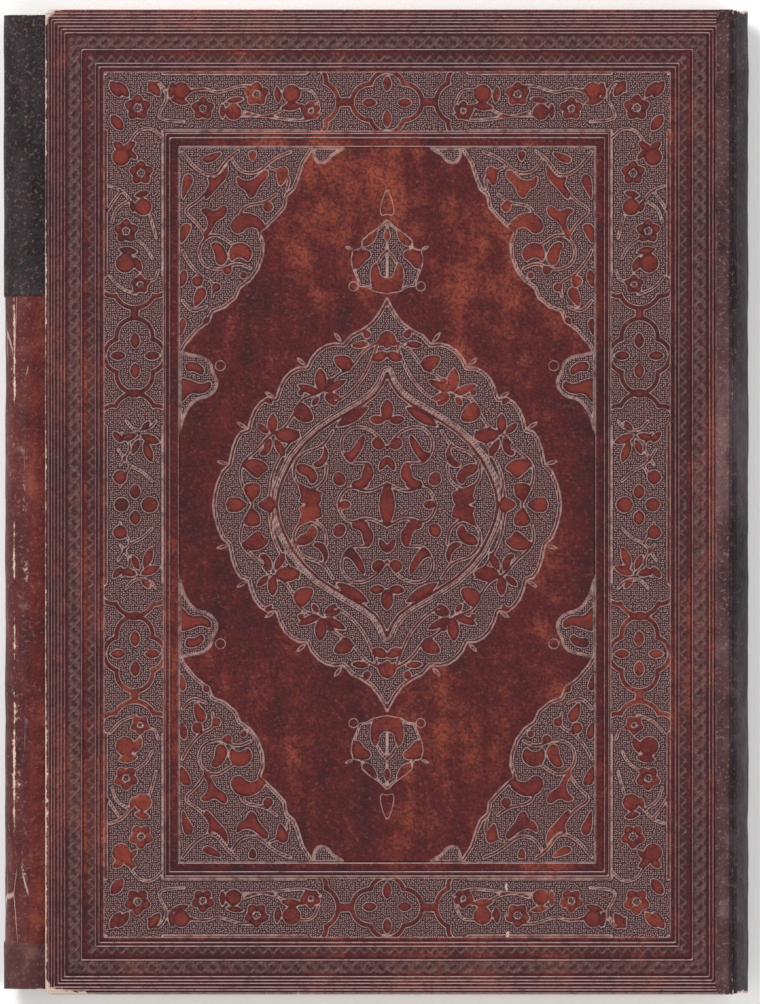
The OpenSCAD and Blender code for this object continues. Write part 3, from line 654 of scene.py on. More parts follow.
def tooled_leather(name):
    """The tooled cover. The design's signed distances come in as attributes, in millimetres, and are cut to sharp edges here."""
    material, net, shader = new_material(name)
    place_ = net.add("TexCoord", 3)
    colour, tone = skin_colour(net, place_, srgb(53, 11, 14), srgb(80, 18, 19), srgb(130, 56, 38))
    height, flecks = use_grain(net, place_, 900.0)
    colour = net.mix(net.math("MULTIPLY", flecks, 0.45), colour, srgb(124, 76, 70))
    # Painted shade: the grain's low creases are darkened in the colour.
    crease_shade = net.span(height, -0.6, -0.24, 0.62, 0.0)
    colour = net.mix(crease_shade, colour, srgb(40, 14, 18))

    isle, sunk = net.attribute("island"), net.attribute("ground")
    mottle_ = net.noise(place_, 90.0, 3.0, 0.6)
    tools, ropes = net.attribute("tools"), net.attribute("cable")
    rim, worn = net.attribute("frame"), net.attribute("worn")

    punched = net.math("MULTIPLY", net.span(isle, 0.0, 0.18), net.span(sunk, 0.0, -0.2))
    dots = net.add("TexVoronoi", 0, {"voronoi_dimensions": "2D"}, Vector=place_, Scale=1290.0, Randomness=0.5)
    bloom = net.noise(place_, 60.0, 4.0, 0.7)
    # Painted highlight and shade: pale specks on the raised tops of the punched dots and dark between them; the
    # greyish-lilac tone and its bloom are the punched ground's own colour.
    pip = net.span(dots, 0.1, 0.37, 1.0, 0.0)
    punched_colour_and_light = net.mix(pip, srgb(58, 32, 35), srgb(186, 151, 146))
    punched_colour_and_light = net.mix(net.span(bloom, 0.42, 0.7, 0.0, 0.3), punched_colour_and_light, srgb(84, 52, 50))
    proud = net.math("MULTIPLY", net.span(isle, -0.3, -1.3), net.span(sunk, 0.0, -1.0))
    colour = net.mix(net.math("MULTIPLY", proud, net.span(mottle_, 0.35, 0.65, 0.15, 0.75)), colour, srgb(122, 46, 34))
    colour = net.mix(punched, colour, punched_colour_and_light)
    # Painted shade: a dark line in the punched ground just outside each motif, beside its pale edge line.
    shade = net.span(net.math("ABSOLUTE", net.math("SUBTRACT", isle, 0.5)), 0.26, 0.06)
    colour = net.mix(net.math("MULTIPLY", net.math("MULTIPLY", shade, punched), 0.75), colour, srgb(38, 25, 29))

    # Painted highlight: pale lines along the motifs' edges, the ground's rim, the tooled lines and the rope stamps'
    # edges, in patchy strength.
    edge = net.span(net.math("ABSOLUTE", net.math("SUBTRACT", isle, 0.1)), 0.24, 0.03)
    edge = net.math("MULTIPLY", edge, net.span(sunk, 0.35, -0.1))
    rim_line = net.span(net.math("ABSOLUTE", sunk), 0.26, 0.04)
    drawn = net.span(net.math("ABSOLUTE", tools), 0.3, 0.06)
    lines = net.math("MAXIMUM", net.math("MAXIMUM", edge, rim_line), drawn)
    rope_edge = net.span(net.math("ABSOLUTE", ropes), 0.26, 0.04)
    rope_in = net.span(ropes, 0.05, -0.2)
    fillets = lit = None
    for at, half in [(75.9, 0.24), (79.1, 0.2), (80.6, 0.26), (104.9, 0.26), (106.3, 0.2), (111.2, 0.34), (117.4, 0.26),
                     (118.7, 0.24), (119.9, 0.2), (121.2, 0.28), (122.3, 0.2), (123.4, 0.28), (124.6, 0.2)]:
        off = net.math("SUBTRACT", rim, at)
        one = net.span(net.math("ABSOLUTE", off), half + 0.14, half - 0.12)
        shine = net.span(net.math("ABSOLUTE", net.math("SUBTRACT", off, half + 0.14)), 0.24, 0.04)
        fillets = one if fillets is None else net.math("MAXIMUM", fillets, one)
        lit = shine if lit is None else net.math("MAXIMUM", lit, shine)
    trail = net.noise(place_, 330.0, 3.0, 0.6)
    strength = net.span(trail, 0.34, 0.6, 0.35, 1.0)
    edge_highlight = net.math("MULTIPLY", net.math("MAXIMUM", lines, net.math("MULTIPLY", rope_edge, 0.34)), strength)
    wide_row = net.span(net.math("ABSOLUTE", net.math("SUBTRACT", rim, 114.4)), 2.9, 2.2)
    thin_row = net.span(net.math("ABSOLUTE", net.math("SUBTRACT", rim, 108.3)), 1.7, 1.2)
    colour = net.mix(net.math("MULTIPLY", net.math("MAXIMUM", wide_row, thin_row), 0.6), colour, srgb(48, 26, 30))
    colour = net.mix(net.math("MULTIPLY", rope_in, 0.55), colour, srgb(80, 52, 52))
    # Painted shade: the frame fillets' grooves are darkened.
    colour = net.mix(net.math("MULTIPLY", fillets, 0.72), colour, srgb(38, 20, 26))
    # Painted highlight beside each fillet, brighter on the top and bottom ends than on the sides, as light from the top
    # catches the crosswise fillets.
    across = net.math("ABSOLUTE", net.math("SUBTRACT", net.add("SeparateXYZ", 0, Vector=place_), DESIGN_X * MM))
    along = net.math("ABSOLUTE", net.math("SUBTRACT", net.add("SeparateXYZ", 1, Vector=place_), DESIGN_Y * MM))
    ends = net.span(net.math("SUBTRACT", along, across), (FRAME_STEP - 1) * MM, (FRAME_STEP + 1) * MM, 0.48, 1.4)
    glint = net.math("MULTIPLY", net.math("MULTIPLY", lit, ends), net.span(trail, 0.3, 0.6, 0.4, 1.0), True)
    colour = net.mix(glint, colour, srgb(174, 146, 143))
    # Painted highlight on the tooled edges, a little stronger inside the punched ground than outside it.
    edge_highlight_dim = net.math("MULTIPLY", edge_highlight, net.span(sunk, 0.2, -0.2, 0.5, 0.72))
    colour = net.mix(edge_highlight_dim, colour, srgb(184, 154, 146))

    rag = net.noise(place_, 420.0, 4.0, 0.75)
    bare = net.span(net.math("ADD", worn, net.math("MULTIPLY", net.math("SUBTRACT", rag, 0.5), 1.1)), 0.45, 0.62)
    colour = net.mix(bare, colour, WEAR_AND_SHEEN_TINT)
    # Painted shade: the wormholes are filled with near-black for the dark of their depth.
    holes = net.span(net.attribute("holes"), 0.5, 0.9)
    colour = net.mix(holes, colour, srgb(24, 16, 16))
    net.put(shader.inputs["Base Color"], colour)
    rough = net.span(tone, 0.3, 0.7, 0.56, 0.42)
    rough = net.math("ADD", rough, net.math("MULTIPLY", punched, 0.12))
    net.put(shader.inputs["Roughness"], rough)
    smooth_grain = net.math("MULTIPLY", height, net.math("SUBTRACT", 1.0, punched))
    dimple = net.math("MULTIPLY", net.math("MULTIPLY", pip, 1.2), punched)
    carved = net.math("ADD", smooth_grain, dimple)
    carved = net.math("SUBTRACT", carved, net.math("MULTIPLY", net.math("MAXIMUM", fillets, rope_in), 1.6))
    carved = net.math("ADD", carved, net.math("MULTIPLY", lines, 0.5))
    bump(net, shader, carved, 0.00018)
    return material


M_TOOLED = tooled_leather("Tooled goatskin")
M_SKIN = leather("Goatskin", srgb(60, 18, 20), srgb(92, 30, 28), srgb(128, 60, 42))
M_FLAP = leather("Cracked flap goatskin", srgb(50, 19, 23), srgb(82, 32, 33), srgb(112, 56, 50), fleck=0.42, cracked=True)
M_REPAIR = leather("Repair leather", srgb(38, 22, 25), srgb(72, 44, 46), srgb(104, 76, 76), 1150.0, 0.55, 0.6, 0.00026)
M_SPINE = leather("Spine leather", srgb(22, 17, 22), srgb(40, 33, 38), srgb(64, 56, 61), 1000.0, 0.72, 0.3)
M_PATCH = leather("Patch leather", srgb(24, 18, 21), srgb(44, 37, 40), srgb(70, 60, 60), 1000.0, 0.62, 0.4, 0.00024)
M_PATCH_BROWN = leather("Brown patch leather", srgb(44, 22, 24), srgb(74, 40, 40), srgb(104, 66, 62), 1000.0, 0.6, 0.4)
M_DOUBLURE = leather("Doublure leather", srgb(96, 44, 30), srgb(128, 66, 42), srgb(150, 88, 58), 1500.0, 0.6, 0.2, 0.00008)


def paper_edges():
    """Leaves seen edge on: fine layers up the block, browned, with darker gathers and foxing."""
    material, net, shader = new_material("Leaves")
    place_ = net.add("TexCoord", 3)
    layers = net.noise(net.stretch(place_, 6.0, 6.0, 2600.0), 1.0, 3.0, 0.6)
    gathers = net.noise(net.stretch(place_, 3.0, 3.0, 420.0), 1.0, 2.0, 0.5)
    stain = net.noise(place_, 30.0, 4.0, 0.65)
    colour = net.mix(net.span(layers, 0.35, 0.65), srgb(166, 140, 108), srgb(226, 206, 174))
    colour = net.mix(net.span(gathers, 0.5, 0.3, 0.0, 0.5), colour, srgb(132, 102, 74))
    colour = net.mix(net.span(stain, 0.55, 0.75, 0.0, 0.6), colour, srgb(138, 100, 64))
    net.put(shader.inputs["Base Color"], colour)
    shader.inputs["Roughness"].default_value = 0.85
    bump(net, shader, net.math("ADD", layers, gathers), 0.0003)
    return material


def pasteboard():
    material, net, shader = new_material("Pasteboard")
    place_ = net.add("TexCoord", 3)
    layers = net.noise(net.stretch(place_, 60.0, 60.0, 1800.0), 1.0, 3.0, 0.6)
    net.put(shader.inputs["Base Color"], net.mix(layers, srgb(140, 108, 74), srgb(196, 168, 128)))
    shader.inputs["Roughness"].default_value = 0.85
    bump(net, shader, layers, 0.0002)
    return material


def silk():
    """Endband silk: red and cream turns, told apart by the attribute that counts them."""
    material, net, shader = new_material("Endband silk")
    turn = net.attribute("turn")
    place_ = net.add("TexCoord", 3)
    strands = net.noise(place_, 2400.0, 2.0, 0.5)
    colour = net.mix(net.span(turn, 0.42, 0.58), srgb(150, 40, 32), srgb(206, 178, 140))
    colour = net.mix(net.math("MULTIPLY", strands, 0.4), colour, srgb(96, 62, 48))
    net.put(shader.inputs["Base Color"], colour)
    shader.inputs["Roughness"].default_value = 0.5
    bump(net, shader, strands, 0.0002)
    return material


M_PAPER, M_BOARD, M_SILK = paper_edges(), pasteboard(), silk()

for node, material in {
    "text_block": M_PAPER, "spine_lining": M_BOARD, "lower_board": M_BOARD, "upper_board": M_BOARD,
    "fore_edge_flap_board": M_BOARD, "envelope_flap_board": M_BOARD, "lower_doublure": M_DOUBLURE,
    "upper_doublure": M_DOUBLURE, "fore_edge_flap_lining": M_DOUBLURE, "envelope_flap_doublure": M_DOUBLURE,
}.items():
    for index in range(len(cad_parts[node].material_slots)):
        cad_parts[node].material_slots[index].material = material


# ---------------------------------------------------------------- covers

ARRIS = 1.2
CORNER_R = 2.5


def cover_tooling(x, y):
    """The design's fields at places on the cover, in mm, and the height they give it, in mm.

    Height = 0.12 on an island, less 0.34 in the punched ground, less 0.24 in a rope or tooled line,
    less 0.22 exp(-(distance / 0.4)^2) at each frame fillet."""
    u, v = x - DESIGN_X, y - DESIGN_Y
    isle = sample(island.d, u, v, 3)
    sunk = sample(ground, u, v, 3)
    tools = sample(field_tools.d, u, v, 3)
    ropes = sample(cables, u, v, 3)
    rim = np.maximum(np.abs(u), np.abs(v) - FRAME_STEP)
    low = ease(isle, -0.1, 0.45) * ease(-sunk, -0.1, 0.5)
    height = 0.12 * ease(-isle, 0, 1.2) * ease(-sunk, 0, 0.6) - 0.34 * low
    height = height - 0.24 * ease(-ropes, -0.1, 0.35) - 0.15 * ease(-tools, -0.3, 0.1)
    for at in (75.9, 80.0, 105.0, 111.2, 117.4, 121.4, 124.0):
        height = height - 0.22 * np.exp(-((rim - at) / 0.4) ** 2)
    return {"island": isle, "ground": sunk, "tools": tools, "cable": ropes, "frame": rim}, height


def round_corner(x, y, half_x, half_y, mid_x, radius):
    """Moves a point that lies outside a corner's arc onto the arc."""
    cx = np.abs(x - mid_x) - (half_x - radius)
    cy = np.abs(y) - (half_y - radius)
    out = np.hypot(cx, cy)
    k = np.where((cx > 0) & (cy > 0) & (out > radius), radius / np.maximum(out, 1e-6), 1.0)
    nx = np.where(k < 1, mid_x + np.sign(x - mid_x) * (half_x - radius + cx * k), x)
    ny = np.where(k < 1, np.sign(y) * (half_y - radius + cy * k), y)
    return nx, ny


COVER_MID = (COVER_X0 + COVER_X1) / 2 / MM
COVER_HALF_W = (COVER_X1 - COVER_X0) / 2 / MM
COVER_HALF_H = HALF_H / MM


def edge_drop(x, y):
    """Distance in from the cover's edge, in mm, and the drop of the rounded arris there: r - sqrt(r^2 - (r - e)^2)."""
    e = np.minimum(COVER_HALF_W - np.abs(x - COVER_MID), COVER_HALF_H - np.abs(y))
    inner = np.clip(ARRIS - e, 0, ARRIS)
    return e, ARRIS - np.sqrt(ARRIS * ARRIS - inner * inner)


def spot(x, y, at, rx, ry):
    """A soft-edged spot, 1 at its middle: exp of minus the squared distance in its own radii."""
    return np.exp(-(((x - at[0]) / rx) ** 2 + ((y - at[1]) / ry) ** 2))


def drawn_at(px, py):
    return (px - 376.5) * UNIT, (501 - py) * UNIT


def upper_wear(x, y, e):
    """Where the skin is rubbed bare, from 0 to 1: along the fore edge and the ends, at the corners, in scratches and chips."""
    fore = COVER_HALF_W - (COVER_MID - x)
    worn = 0.33 * np.exp(-fore / 1.0) * (0.7 + 0.3 * ripple(y * 0, y, 46, 1.2))
    worn = worn + 0.24 * spot(0 * x, y, (0, -118), 1, 52) * np.exp(-fore / 2.0)
    worn = worn + 0.42 * np.exp(-e / 0.9)
    for at in ((-121.0, 179.5), (-121.0, -179.5)):
        worn = worn + 0.62 * spot(x, y, at, 4.2, 3.6)
    worn = worn + 0.5 * spot(x, y, (-112, -179.5), 9, 2.2)
    for a, b, w in [((428, 150), (409, 206), 0.5), ((416, 182), (394, 223), 0.4), ((409, 303), (428, 303), 0.4),
                    ((279, 947), (300, 994), 0.5), ((505, 868), (508, 946), 0.8), ((120, 957), (160, 962), 0.4),
                    ((430, 706), (452, 694), 0.35), ((560, 240), (590, 236), 0.35)]:
        line = np.array([drawn_at(*a), drawn_at(*b)])
        worn = worn + 0.3 * np.exp(-(line_distance(x, y, line) / w) ** 2)
    for px, py, r in [(556, 375, 0.7), (724, 603, 0.8), (138, 961, 0.8), (228, 970, 0.8), (82, 459, 0.7), (178, 424, 1.5),
                      (504, 885, 2.6), (503, 910, 2.6), (506, 932, 2.2), (304, 343, 0.4), (417, 300, 0.5), (98, 252, 0.5)]:
        worn = worn + (0.5 if r < 2 else 0.3) * spot(x, y, drawn_at(px, py), r, r)
    return worn


def wormholes(x, y):
    return sum(spot(x, y, drawn_at(*p), 0.75, 0.75) for p in [(696, 692), (702, 711), (717, 662)])


def cover_skin(name, body, face_z, up, step, x_range, tiles):
    """The tooled face of a cover. Parameters: place along X and along Y. z = face - arris drop + tooling height."""
    xs = np.linspace(x_range[0], x_range[1], int((x_range[1] - x_range[0]) / step) + 1)
    ys = np.linspace(-COVER_HALF_H, COVER_HALF_H, int(2 * COVER_HALF_H / step) + 1)
    edges = np.array([0.1, 0.3, 0.6, 0.9])
    xs = np.unique(np.concatenate([xs, x_range[0] + edges]))
    ys = np.unique(np.concatenate([ys, -COVER_HALF_H + edges, COVER_HALF_H - edges]))
    cuts = np.linspace(0, len(ys) - 1, tiles + 1).astype(int)
    for k in range(tiles):
        x, y = np.meshgrid(xs, ys[cuts[k]:cuts[k + 1] + 1], indexing="ij")
        x, y = round_corner(x, y, COVER_HALF_W, COVER_HALF_H, COVER_MID, CORNER_R)
        fields, height = cover_tooling(x, y)
        e, drop = edge_drop(x, y)
        e = np.maximum(e, 0)
        fade = ease(e, 0.3, 2.0)
        sag = 0.1 * ripple(x, y, 90, 0.4) + 0.05 * ripple(x, y, 22, 1.7)
        worn = upper_wear(x, y, e) if up else 0.45 * np.exp(-e / 1.1) + 0.1 * ripple(x, y, 60, 2)
        holes = wormholes(x, y) if up else 0 * x
        z = height * fade + (sag - 0.16) * fade - drop - 0.25 * ease(worn, 0.5, 1.0) - 0.8 * ease(holes, 0.3, 0.8)
        z = face_z / MM + (z if up else np.maximum(0.02, 0.2 - z))
        fields.update(worn=worn, holes=holes)
        piece = add_grid(f"{name}_{k + 1}", np.stack([x, y, z], -1) * MM, M_TOOLED, fields, flip=not up)
        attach(piece, body)
        yield piece


def outline_loop(half_x, half_y, radius, inset, step=3.0):
    """Points round a rectangle with round corners, moved inwards by inset, in the same order and number for any inset."""
    r = max(radius - inset, 0.02)
    hx, hy = half_x - inset - r, half_y - inset - r
    a = np.linspace(0, math.pi / 2, 7)
    parts = []
    for k, (sx, sy) in enumerate([(1, 1), (-1, 1), (-1, -1), (1, -1)]):
        angle = a + k * math.pi / 2
        parts.append(np.stack([sx * hx + r * np.cos(angle), sy * hy + r * np.sin(angle)], 1))
    loop = np.concatenate(parts)
    full = [loop[0][None]]
    for p, q in zip(loop, np.roll(loop, -1, 0)):
        n = int(max(abs(q[0] - p[0]), abs(q[1] - p[1])) > 10) * (120 if abs(q[1] - p[1]) > abs(q[0] - p[0]) else 84) + 1
        t = np.linspace(0, 1, n + 1)[1:, None]
        full.append(p + (q - p) * t)
    return np.concatenate(full)[:-1]


def cover_turn_in(name, body, outer_z, up):
    """Edge of a cover with its turn-in: a profile down the side and in under the board, carried round the cover's outline."""
    t = COVER_T / MM
    profile = [(0.0, -1.0), (0.0, -1.6), (-0.05, -t / 2), (0.0, -t + 1.3), (0.12, -t + 0.7), (0.42, -t + 0.25),
               (0.95, -t + 0.03), (2.0, -t), (7.0, -t), (12.5, -t), (13.7, -t + 0.05), (13.95, -t + 0.35), (14.0, -t + 0.7)]
    rings = []
    worn = []
    for inset, z in profile:
        p = outline_loop(COVER_HALF_W, COVER_HALF_H, CORNER_R, max(inset, 0))
        wave = 0.12 * ripple(p[:, 0], p[:, 1], 30, 0.9) if 0.5 < inset < 13 else 0
        rings.append(np.stack([p[:, 0] + COVER_MID, p[:, 1], p[:, 0] * 0 + z + np.maximum(wave, 0)], 1))
        bare = 0.5 * np.exp(-abs(z + 1) / 0.9) + 0.35 * np.exp(-abs(z + t) / 0.6) * (inset < 1.5)
        left = ease(-p[:, 0], COVER_HALF_W - 3, COVER_HALF_W)
        worn.append(bare * (0.7 + 0.3 * ripple(p[:, 0], p[:, 1], 40, 2.4)) + 0.3 * left * (inset < 1))
    rings = np.stack(rings, 1)
    rings[..., 2] = outer_z / MM + (rings[..., 2] if up else -rings[..., 2])
    piece = add_grid(name, rings * MM, M_SKIN, {"worn": np.stack(worn, 1)}, wrap=True, flip=not up)
    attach(piece, body)
    return piece


strip_x = STRIP_X0 / MM
front = list(cover_skin("upper_tooled_skin", "upper_cover", TOP, True, 0.7, (COVER_X0 / MM, COVER_X1 / MM), 3))
upper_edge = cover_turn_in("upper_cover_turn_in", "upper_cover", TOP, True)
back = list(cover_skin("lower_tooled_skin", "book", 0.0, False, 1.5, (COVER_X0 / MM, COVER_X1 / MM), 1))
lower_edge = cover_turn_in("lower_cover_turn_in", "book", 0.0, False)
for piece in front:
    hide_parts("upper_cover_leather")
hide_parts("upper_cover_leather")
for piece in back:
    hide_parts("lower_cover_leather")
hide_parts("lower_cover_leather")


# ---------------------------------------------------------------- joints and spine

CREASE = float(spine_low[0]) / MM
SPINE_OUT = float(spine_high[0]) / MM
BULGE = SPINE_OUT - CREASE
SPINE_R = ((TOP / MM / 2) ** 2 + BULGE ** 2) / (2 * BULGE)
SPINE_CX = CREASE + BULGE - SPINE_R


def joint_strip(name, body, face_z, up):
    """Repair leather let over the cover beside the joint. Parameters: place along Y, and across, where the profile steps down at the strip's edge."""
    across = np.array([strip_x - 0.9, strip_x - 0.55, strip_x - 0.3, strip_x, strip_x + 0.8, strip_x + 2, strip_x + 3.2,
                       COVER_X1 / MM - 1.0, COVER_X1 / MM - 0.4, COVER_X1 / MM - 0.05, COVER_X1 / MM + 0.02])
    rise = np.array([-0.3, 0.05, 0.28, 0.34, 0.36, 0.36, 0.35, 0.3, 0.1, -0.5, -2.4])
    ys = np.linspace(-COVER_HALF_H - 0.1, COVER_HALF_H + 0.1, 420)
    y, a = np.meshgrid(ys, np.arange(len(across)), indexing="ij")
    x = across[a] + 0.3 * ripple(y, y * 0, 34, 0.3) * (a < 4)
    end = ease(COVER_HALF_H + 0.1 - np.abs(y), 0, 1.1)
    z = (rise[a] + 1.1) * end - 1.1 + 0.05 * ripple(x, y, 14, 1.1)
    worn = 0.5 * np.exp(-(COVER_HALF_H - np.abs(y)) / 1.4) + 0.25 * (a == 2) + 0.3 * (a > 7) * ease(ripple(y, y * 0, 60, 2.2), 0.2, 1)
    worn = worn + 0.6 * spot(x, y, drawn_at(724, 603), 0.9, 1.2) + 0.6 * spot(x, y, drawn_at(724, 845), 0.9, 2.2)
    z = face_z / MM + (z if up else 0.45 - z)
    piece = add_grid(name, np.stack([x, y, z], -1) * MM, M_REPAIR, {"worn": worn}, flip=up)
    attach(piece, body)
    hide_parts(name)
    return piece


joint_strip("upper_joint_strip", "upper_cover", TOP, True)
joint_strip("lower_joint_strip", "book", 0.0, False)


def spine():
    """Spine leather. Parameters: place along Y, and the angle round the spine's arc; outer then inner face, with soft dents added to the radius."""
    sweep = math.asin((TOP / MM / 2) / SPINE_R)
    angle = np.linspace(-sweep, sweep, 60)
    ys = np.linspace(-COVER_HALF_H, COVER_HALF_H, 440)
    y, a = np.meshgrid(ys, angle, indexing="ij")
    dent = 0.12 * ripple(y, a * 26, 40, 0.8) + 0.1 * ripple(y, a * 40, 12, 1.9)
    rag = np.exp(-(COVER_HALF_H - np.abs(y)) / 1.6)
    radius = SPINE_R + dent * (1 - rag) - 0.2
    trim = 0.8 * np.abs(ripple(a * 30, y * 0, 5, 1.4)) * rag
    y = y - np.sign(y) * trim
    x = SPINE_CX + radius * np.cos(a)
    z = TOP / MM / 2 + radius * np.sin(a)
    worn = 0.75 * rag + 0.2 * np.exp(-((np.abs(a) - sweep) / 0.03) ** 2)
    skin = np.stack([x, y, z], -1)
    inner = np.stack([SPINE_CX + (SPINE_R - 0.95) * np.cos(a), y, TOP / MM / 2 + (SPINE_R - 0.95) * np.sin(a)], -1)
    # The inner face is joined on past the two long edges and follows the outer one back
    loop = np.concatenate([skin, inner[:, ::-1]], 1)
    both = np.concatenate([worn, worn[:, ::-1]], 1)
    n, m = loop.shape[:2]
    faces = grid_faces(n, m, flip=True)
    close = np.arange(n - 1)
    seam = np.stack([close * m + m - 1, (close + 1) * m + m - 1, (close + 1) * m, close * m], 1)[:, ::-1]
    ends = []
    for row, turned in ((0, False), (n - 1, True)):
        i = np.arange(m // 2 - 1)
        cap = np.stack([row * m + i, row * m + i + 1, row * m + m - 2 - i, row * m + m - 1 - i], 1)
        ends.append(cap[:, ::-1] if turned else cap)
    piece = add_piece("spine_leather", loop * MM, np.concatenate([faces, seam] + ends), M_SPINE, {"worn": both})
    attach(piece, "book")
    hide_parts("spine_leather")


spine()


def joint_fold():
    """Leather across the upper joint. Parameters: place along Y, and across from the board to the spine, dipping in a crease between them."""
    t = np.linspace(0, 1, 15)
    x0, x1 = COVER_X1 / MM - 1.4, CREASE + 1.1
    ys = np.linspace(-COVER_HALF_H + 0.4, COVER_HALF_H - 0.4, 360)
    y, s = np.meshgrid(ys, t, indexing="ij")
    x = x0 + (x1 - x0) * s
    top = TOP / MM + 0.42 - 0.75 * np.exp(-((s - 0.5) / 0.16) ** 2) - 0.5 * ease(s, 0.62, 1.0)
    z = top + 0.05 * ripple(x, y, 20, 0.6)
    # Painted highlight: a pale line along the crease, carried in the same attribute as wear.
    worn = 0.56 * np.exp(-((s - 0.4) / 0.08) ** 2) * (0.75 + 0.25 * ripple(y, 0 * y, 70, 0.5))
    piece = add_grid("upper_joint_fold", np.stack([x, y, z], -1) * MM, M_SPINE, {"worn": worn}, flip=True)
    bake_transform(piece)


joint_fold()


def endband(end, name):
    """A silk endband. Parameters: place along the spine's arc and turn round the core; the radius swells once for each turn of thread."""
    lo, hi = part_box(name)
    core = (hi[1] - lo[1]) / 2 / MM
    mid_y = (hi[1] + lo[1]) / 2 / MM
    path_r = float(hi[0]) / MM - core - SPINE_CX
    reach = math.asin((float(hi[2] - lo[2]) / MM / 2 - core * 0.6) / path_r)
    turns = 46
    along = np.linspace(-reach, reach, turns * 6 + 1)
    ring = np.linspace(0, 2 * math.pi, 17)[:-1]
    r, a = np.meshgrid(ring, along, indexing="ij")
    count = (a + reach) / (2 * reach) * turns + r / (2 * math.pi)
    radius = core * (0.9 + 0.1 * np.abs(np.sin(math.pi * count)))
    out = path_r + radius * np.cos(r)
    x, z = SPINE_CX + out * np.cos(a), TOP / MM / 2 + out * np.sin(a)
    y = mid_y + radius * np.sin(r)
    colour = 0.5 + 0.5 * np.sign(np.sin(math.pi * (np.floor(count) + 0.5))) * np.ones_like(r)
    piece = add_grid(name + "_silk", np.stack([x, y, z], -1) * MM, M_SILK, {"turn": colour}, wrap=True)
    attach(piece, "book")
    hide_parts(name)


endband(1, "head_endband")
endband(-1, "tail_endband")


# ---------------------------------------------------------------- flaps

FLAP_X0 = float(flap_low[0]) / MM
FLAP_TOP = float(flap_high[2]) / MM
FLAP_HALF = float(flap_high[1]) / MM
HINGE_R = float(patch_high[0] - patch_low[0]) / MM
HINGE_X = FLAP_X0 + HINGE_R
PATCH_Y = float(patch_low[1]) / MM
TAIL_Y = float(tail_high[1]) / MM
ENVELOPE_TIP = float(flap_high[0]) / MM
ENVELOPE_SIDE = 56.0


def wrap_profile(radius_off, count=20):
    """Section of the flap leather, from under the lower cover's edge, round the fore edge and back over the leaves."""
    r = HINGE_R + radius_off
    low = [(s, -radius_off) for s in np.linspace(COVER_X0 / MM - 0.3, HINGE_X + 0.5, 4)]
    a = np.linspace(-math.pi / 2, -math.pi, count)
    bottom = [(HINGE_X + r * math.cos(t), HINGE_R + r * math.sin(t)) for t in a]
    side = [(HINGE_X - r, z) for z in np.linspace(HINGE_R, FLAP_TOP - HINGE_R, 14)[1:-1]]
    a = np.linspace(math.pi, math.pi / 2, count)
    top = [(HINGE_X + r * math.cos(t), FLAP_TOP - HINGE_R + r * math.sin(t)) for t in a]
    return np.array(low + bottom + side + top)


def flap_outer():
    """Outer face of the flap leather round the fore edge. Parameters: place along Y and along the section, with soft creases along the hinges."""
    section = wrap_profile(0.0)
    inner = wrap_profile(-0.9)
    ys = np.linspace(-FLAP_HALF, FLAP_HALF, 440)
    y, k = np.meshgrid(ys, np.arange(len(section)), indexing="ij")
    normal = (section - inner)[k] / 0.9
    upward = ease(section[k][..., 1], FLAP_TOP - HINGE_R, FLAP_TOP - 1)
    soft = 0.16 * ripple(y, section[k][..., 0] * 2, 44, 0.2) + 0.1 * ripple(y, section[k][..., 1] * 3, 16, 1.3)
    worn = 0.27 + 0.15 * ripple(y, section[k][..., 0] * 4, 26, 0.9) * upward
    # Painted highlight: a pale line along the flap's top turn, carried in the same attribute as wear.
    worn = worn + 0.35 * np.exp(-((section[k][..., 0] - (HINGE_X - 5.6)) / 0.45) ** 2) * upward * ease(ripple(y, 0 * y, 80, 1.0), -0.4, 0.4)
    worn = worn + 0.4 * np.exp(-(FLAP_HALF - np.abs(y)) / 1.0)
    worn = worn * ease(section[k][..., 1], 2, 12)
    point = section[k] + normal * (soft - 0.25)[..., None]
    point[..., 1] = np.maximum(point[..., 1], 0.03)
    yy = y - np.sign(y) * 0.5 * np.abs(ripple(section[k][..., 0], 0 * y, 9, 0.7)) * np.exp(-(FLAP_HALF - np.abs(y)) / 2)
    piece = add_grid("flap_leather_wrap", np.stack([point[..., 0], yy, point[..., 1]], -1) * MM, M_FLAP, {"worn": worn})
    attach(piece, "book")
    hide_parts("flap_leather")
    back_ = np.stack([inner[k][..., 0], y, inner[k][..., 1]], -1)
    lining = add_grid("flap_leather_flesh_side", back_ * MM, M_DOUBLURE, {"worn": 0 * y}, flip=True)
    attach(lining, "book")
    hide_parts("flap_leather")


def envelope_face():
    """Top of the envelope flap under the cover. Parameters: place along X from the hinge to the point and across from edge to edge, which narrows after the straight sides."""
    reach = ENVELOPE_TIP - HINGE_X
    s, t = np.meshgrid(np.linspace(0, 1, 130), np.linspace(-1, 1, 190), indexing="ij")
    x = HINGE_X - 0.2 + reach * s
    half = FLAP_HALF * np.clip((reach - reach * s) / (reach - ENVELOPE_SIDE), 0.004, 1)
    y = t * half
    e = np.minimum(half * (1 - np.abs(t)), (reach - reach * s) * 0.9)
    line = np.exp(-((e - 8) / 0.45) ** 2) + np.exp(-((e - 10) / 0.45) ** 2) + np.exp(-((e - 15) / 0.5) ** 2)
    drop = 0.9 * (1 - ease(e, 0, 1.2))
    z = FLAP_TOP - 0.05 - 0.22 * line * ease(s, 0.02, 0.05) - drop
    piece = add_grid("envelope_flap_skin", np.stack([x, y, z], -1) * MM, M_SKIN, {"worn": 0.4 * np.exp(-e / 1.2)})
    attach(piece, "book")
    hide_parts("flap_leather")
    under = np.stack([x, y, 0 * x + FLAP_TOP - 0.97], -1)
    hem = add_grid("envelope_flap_turn_in", under * MM, M_SKIN, {"worn": 0 * e}, flip=True)
    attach(hem, "book")
    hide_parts("flap_leather")


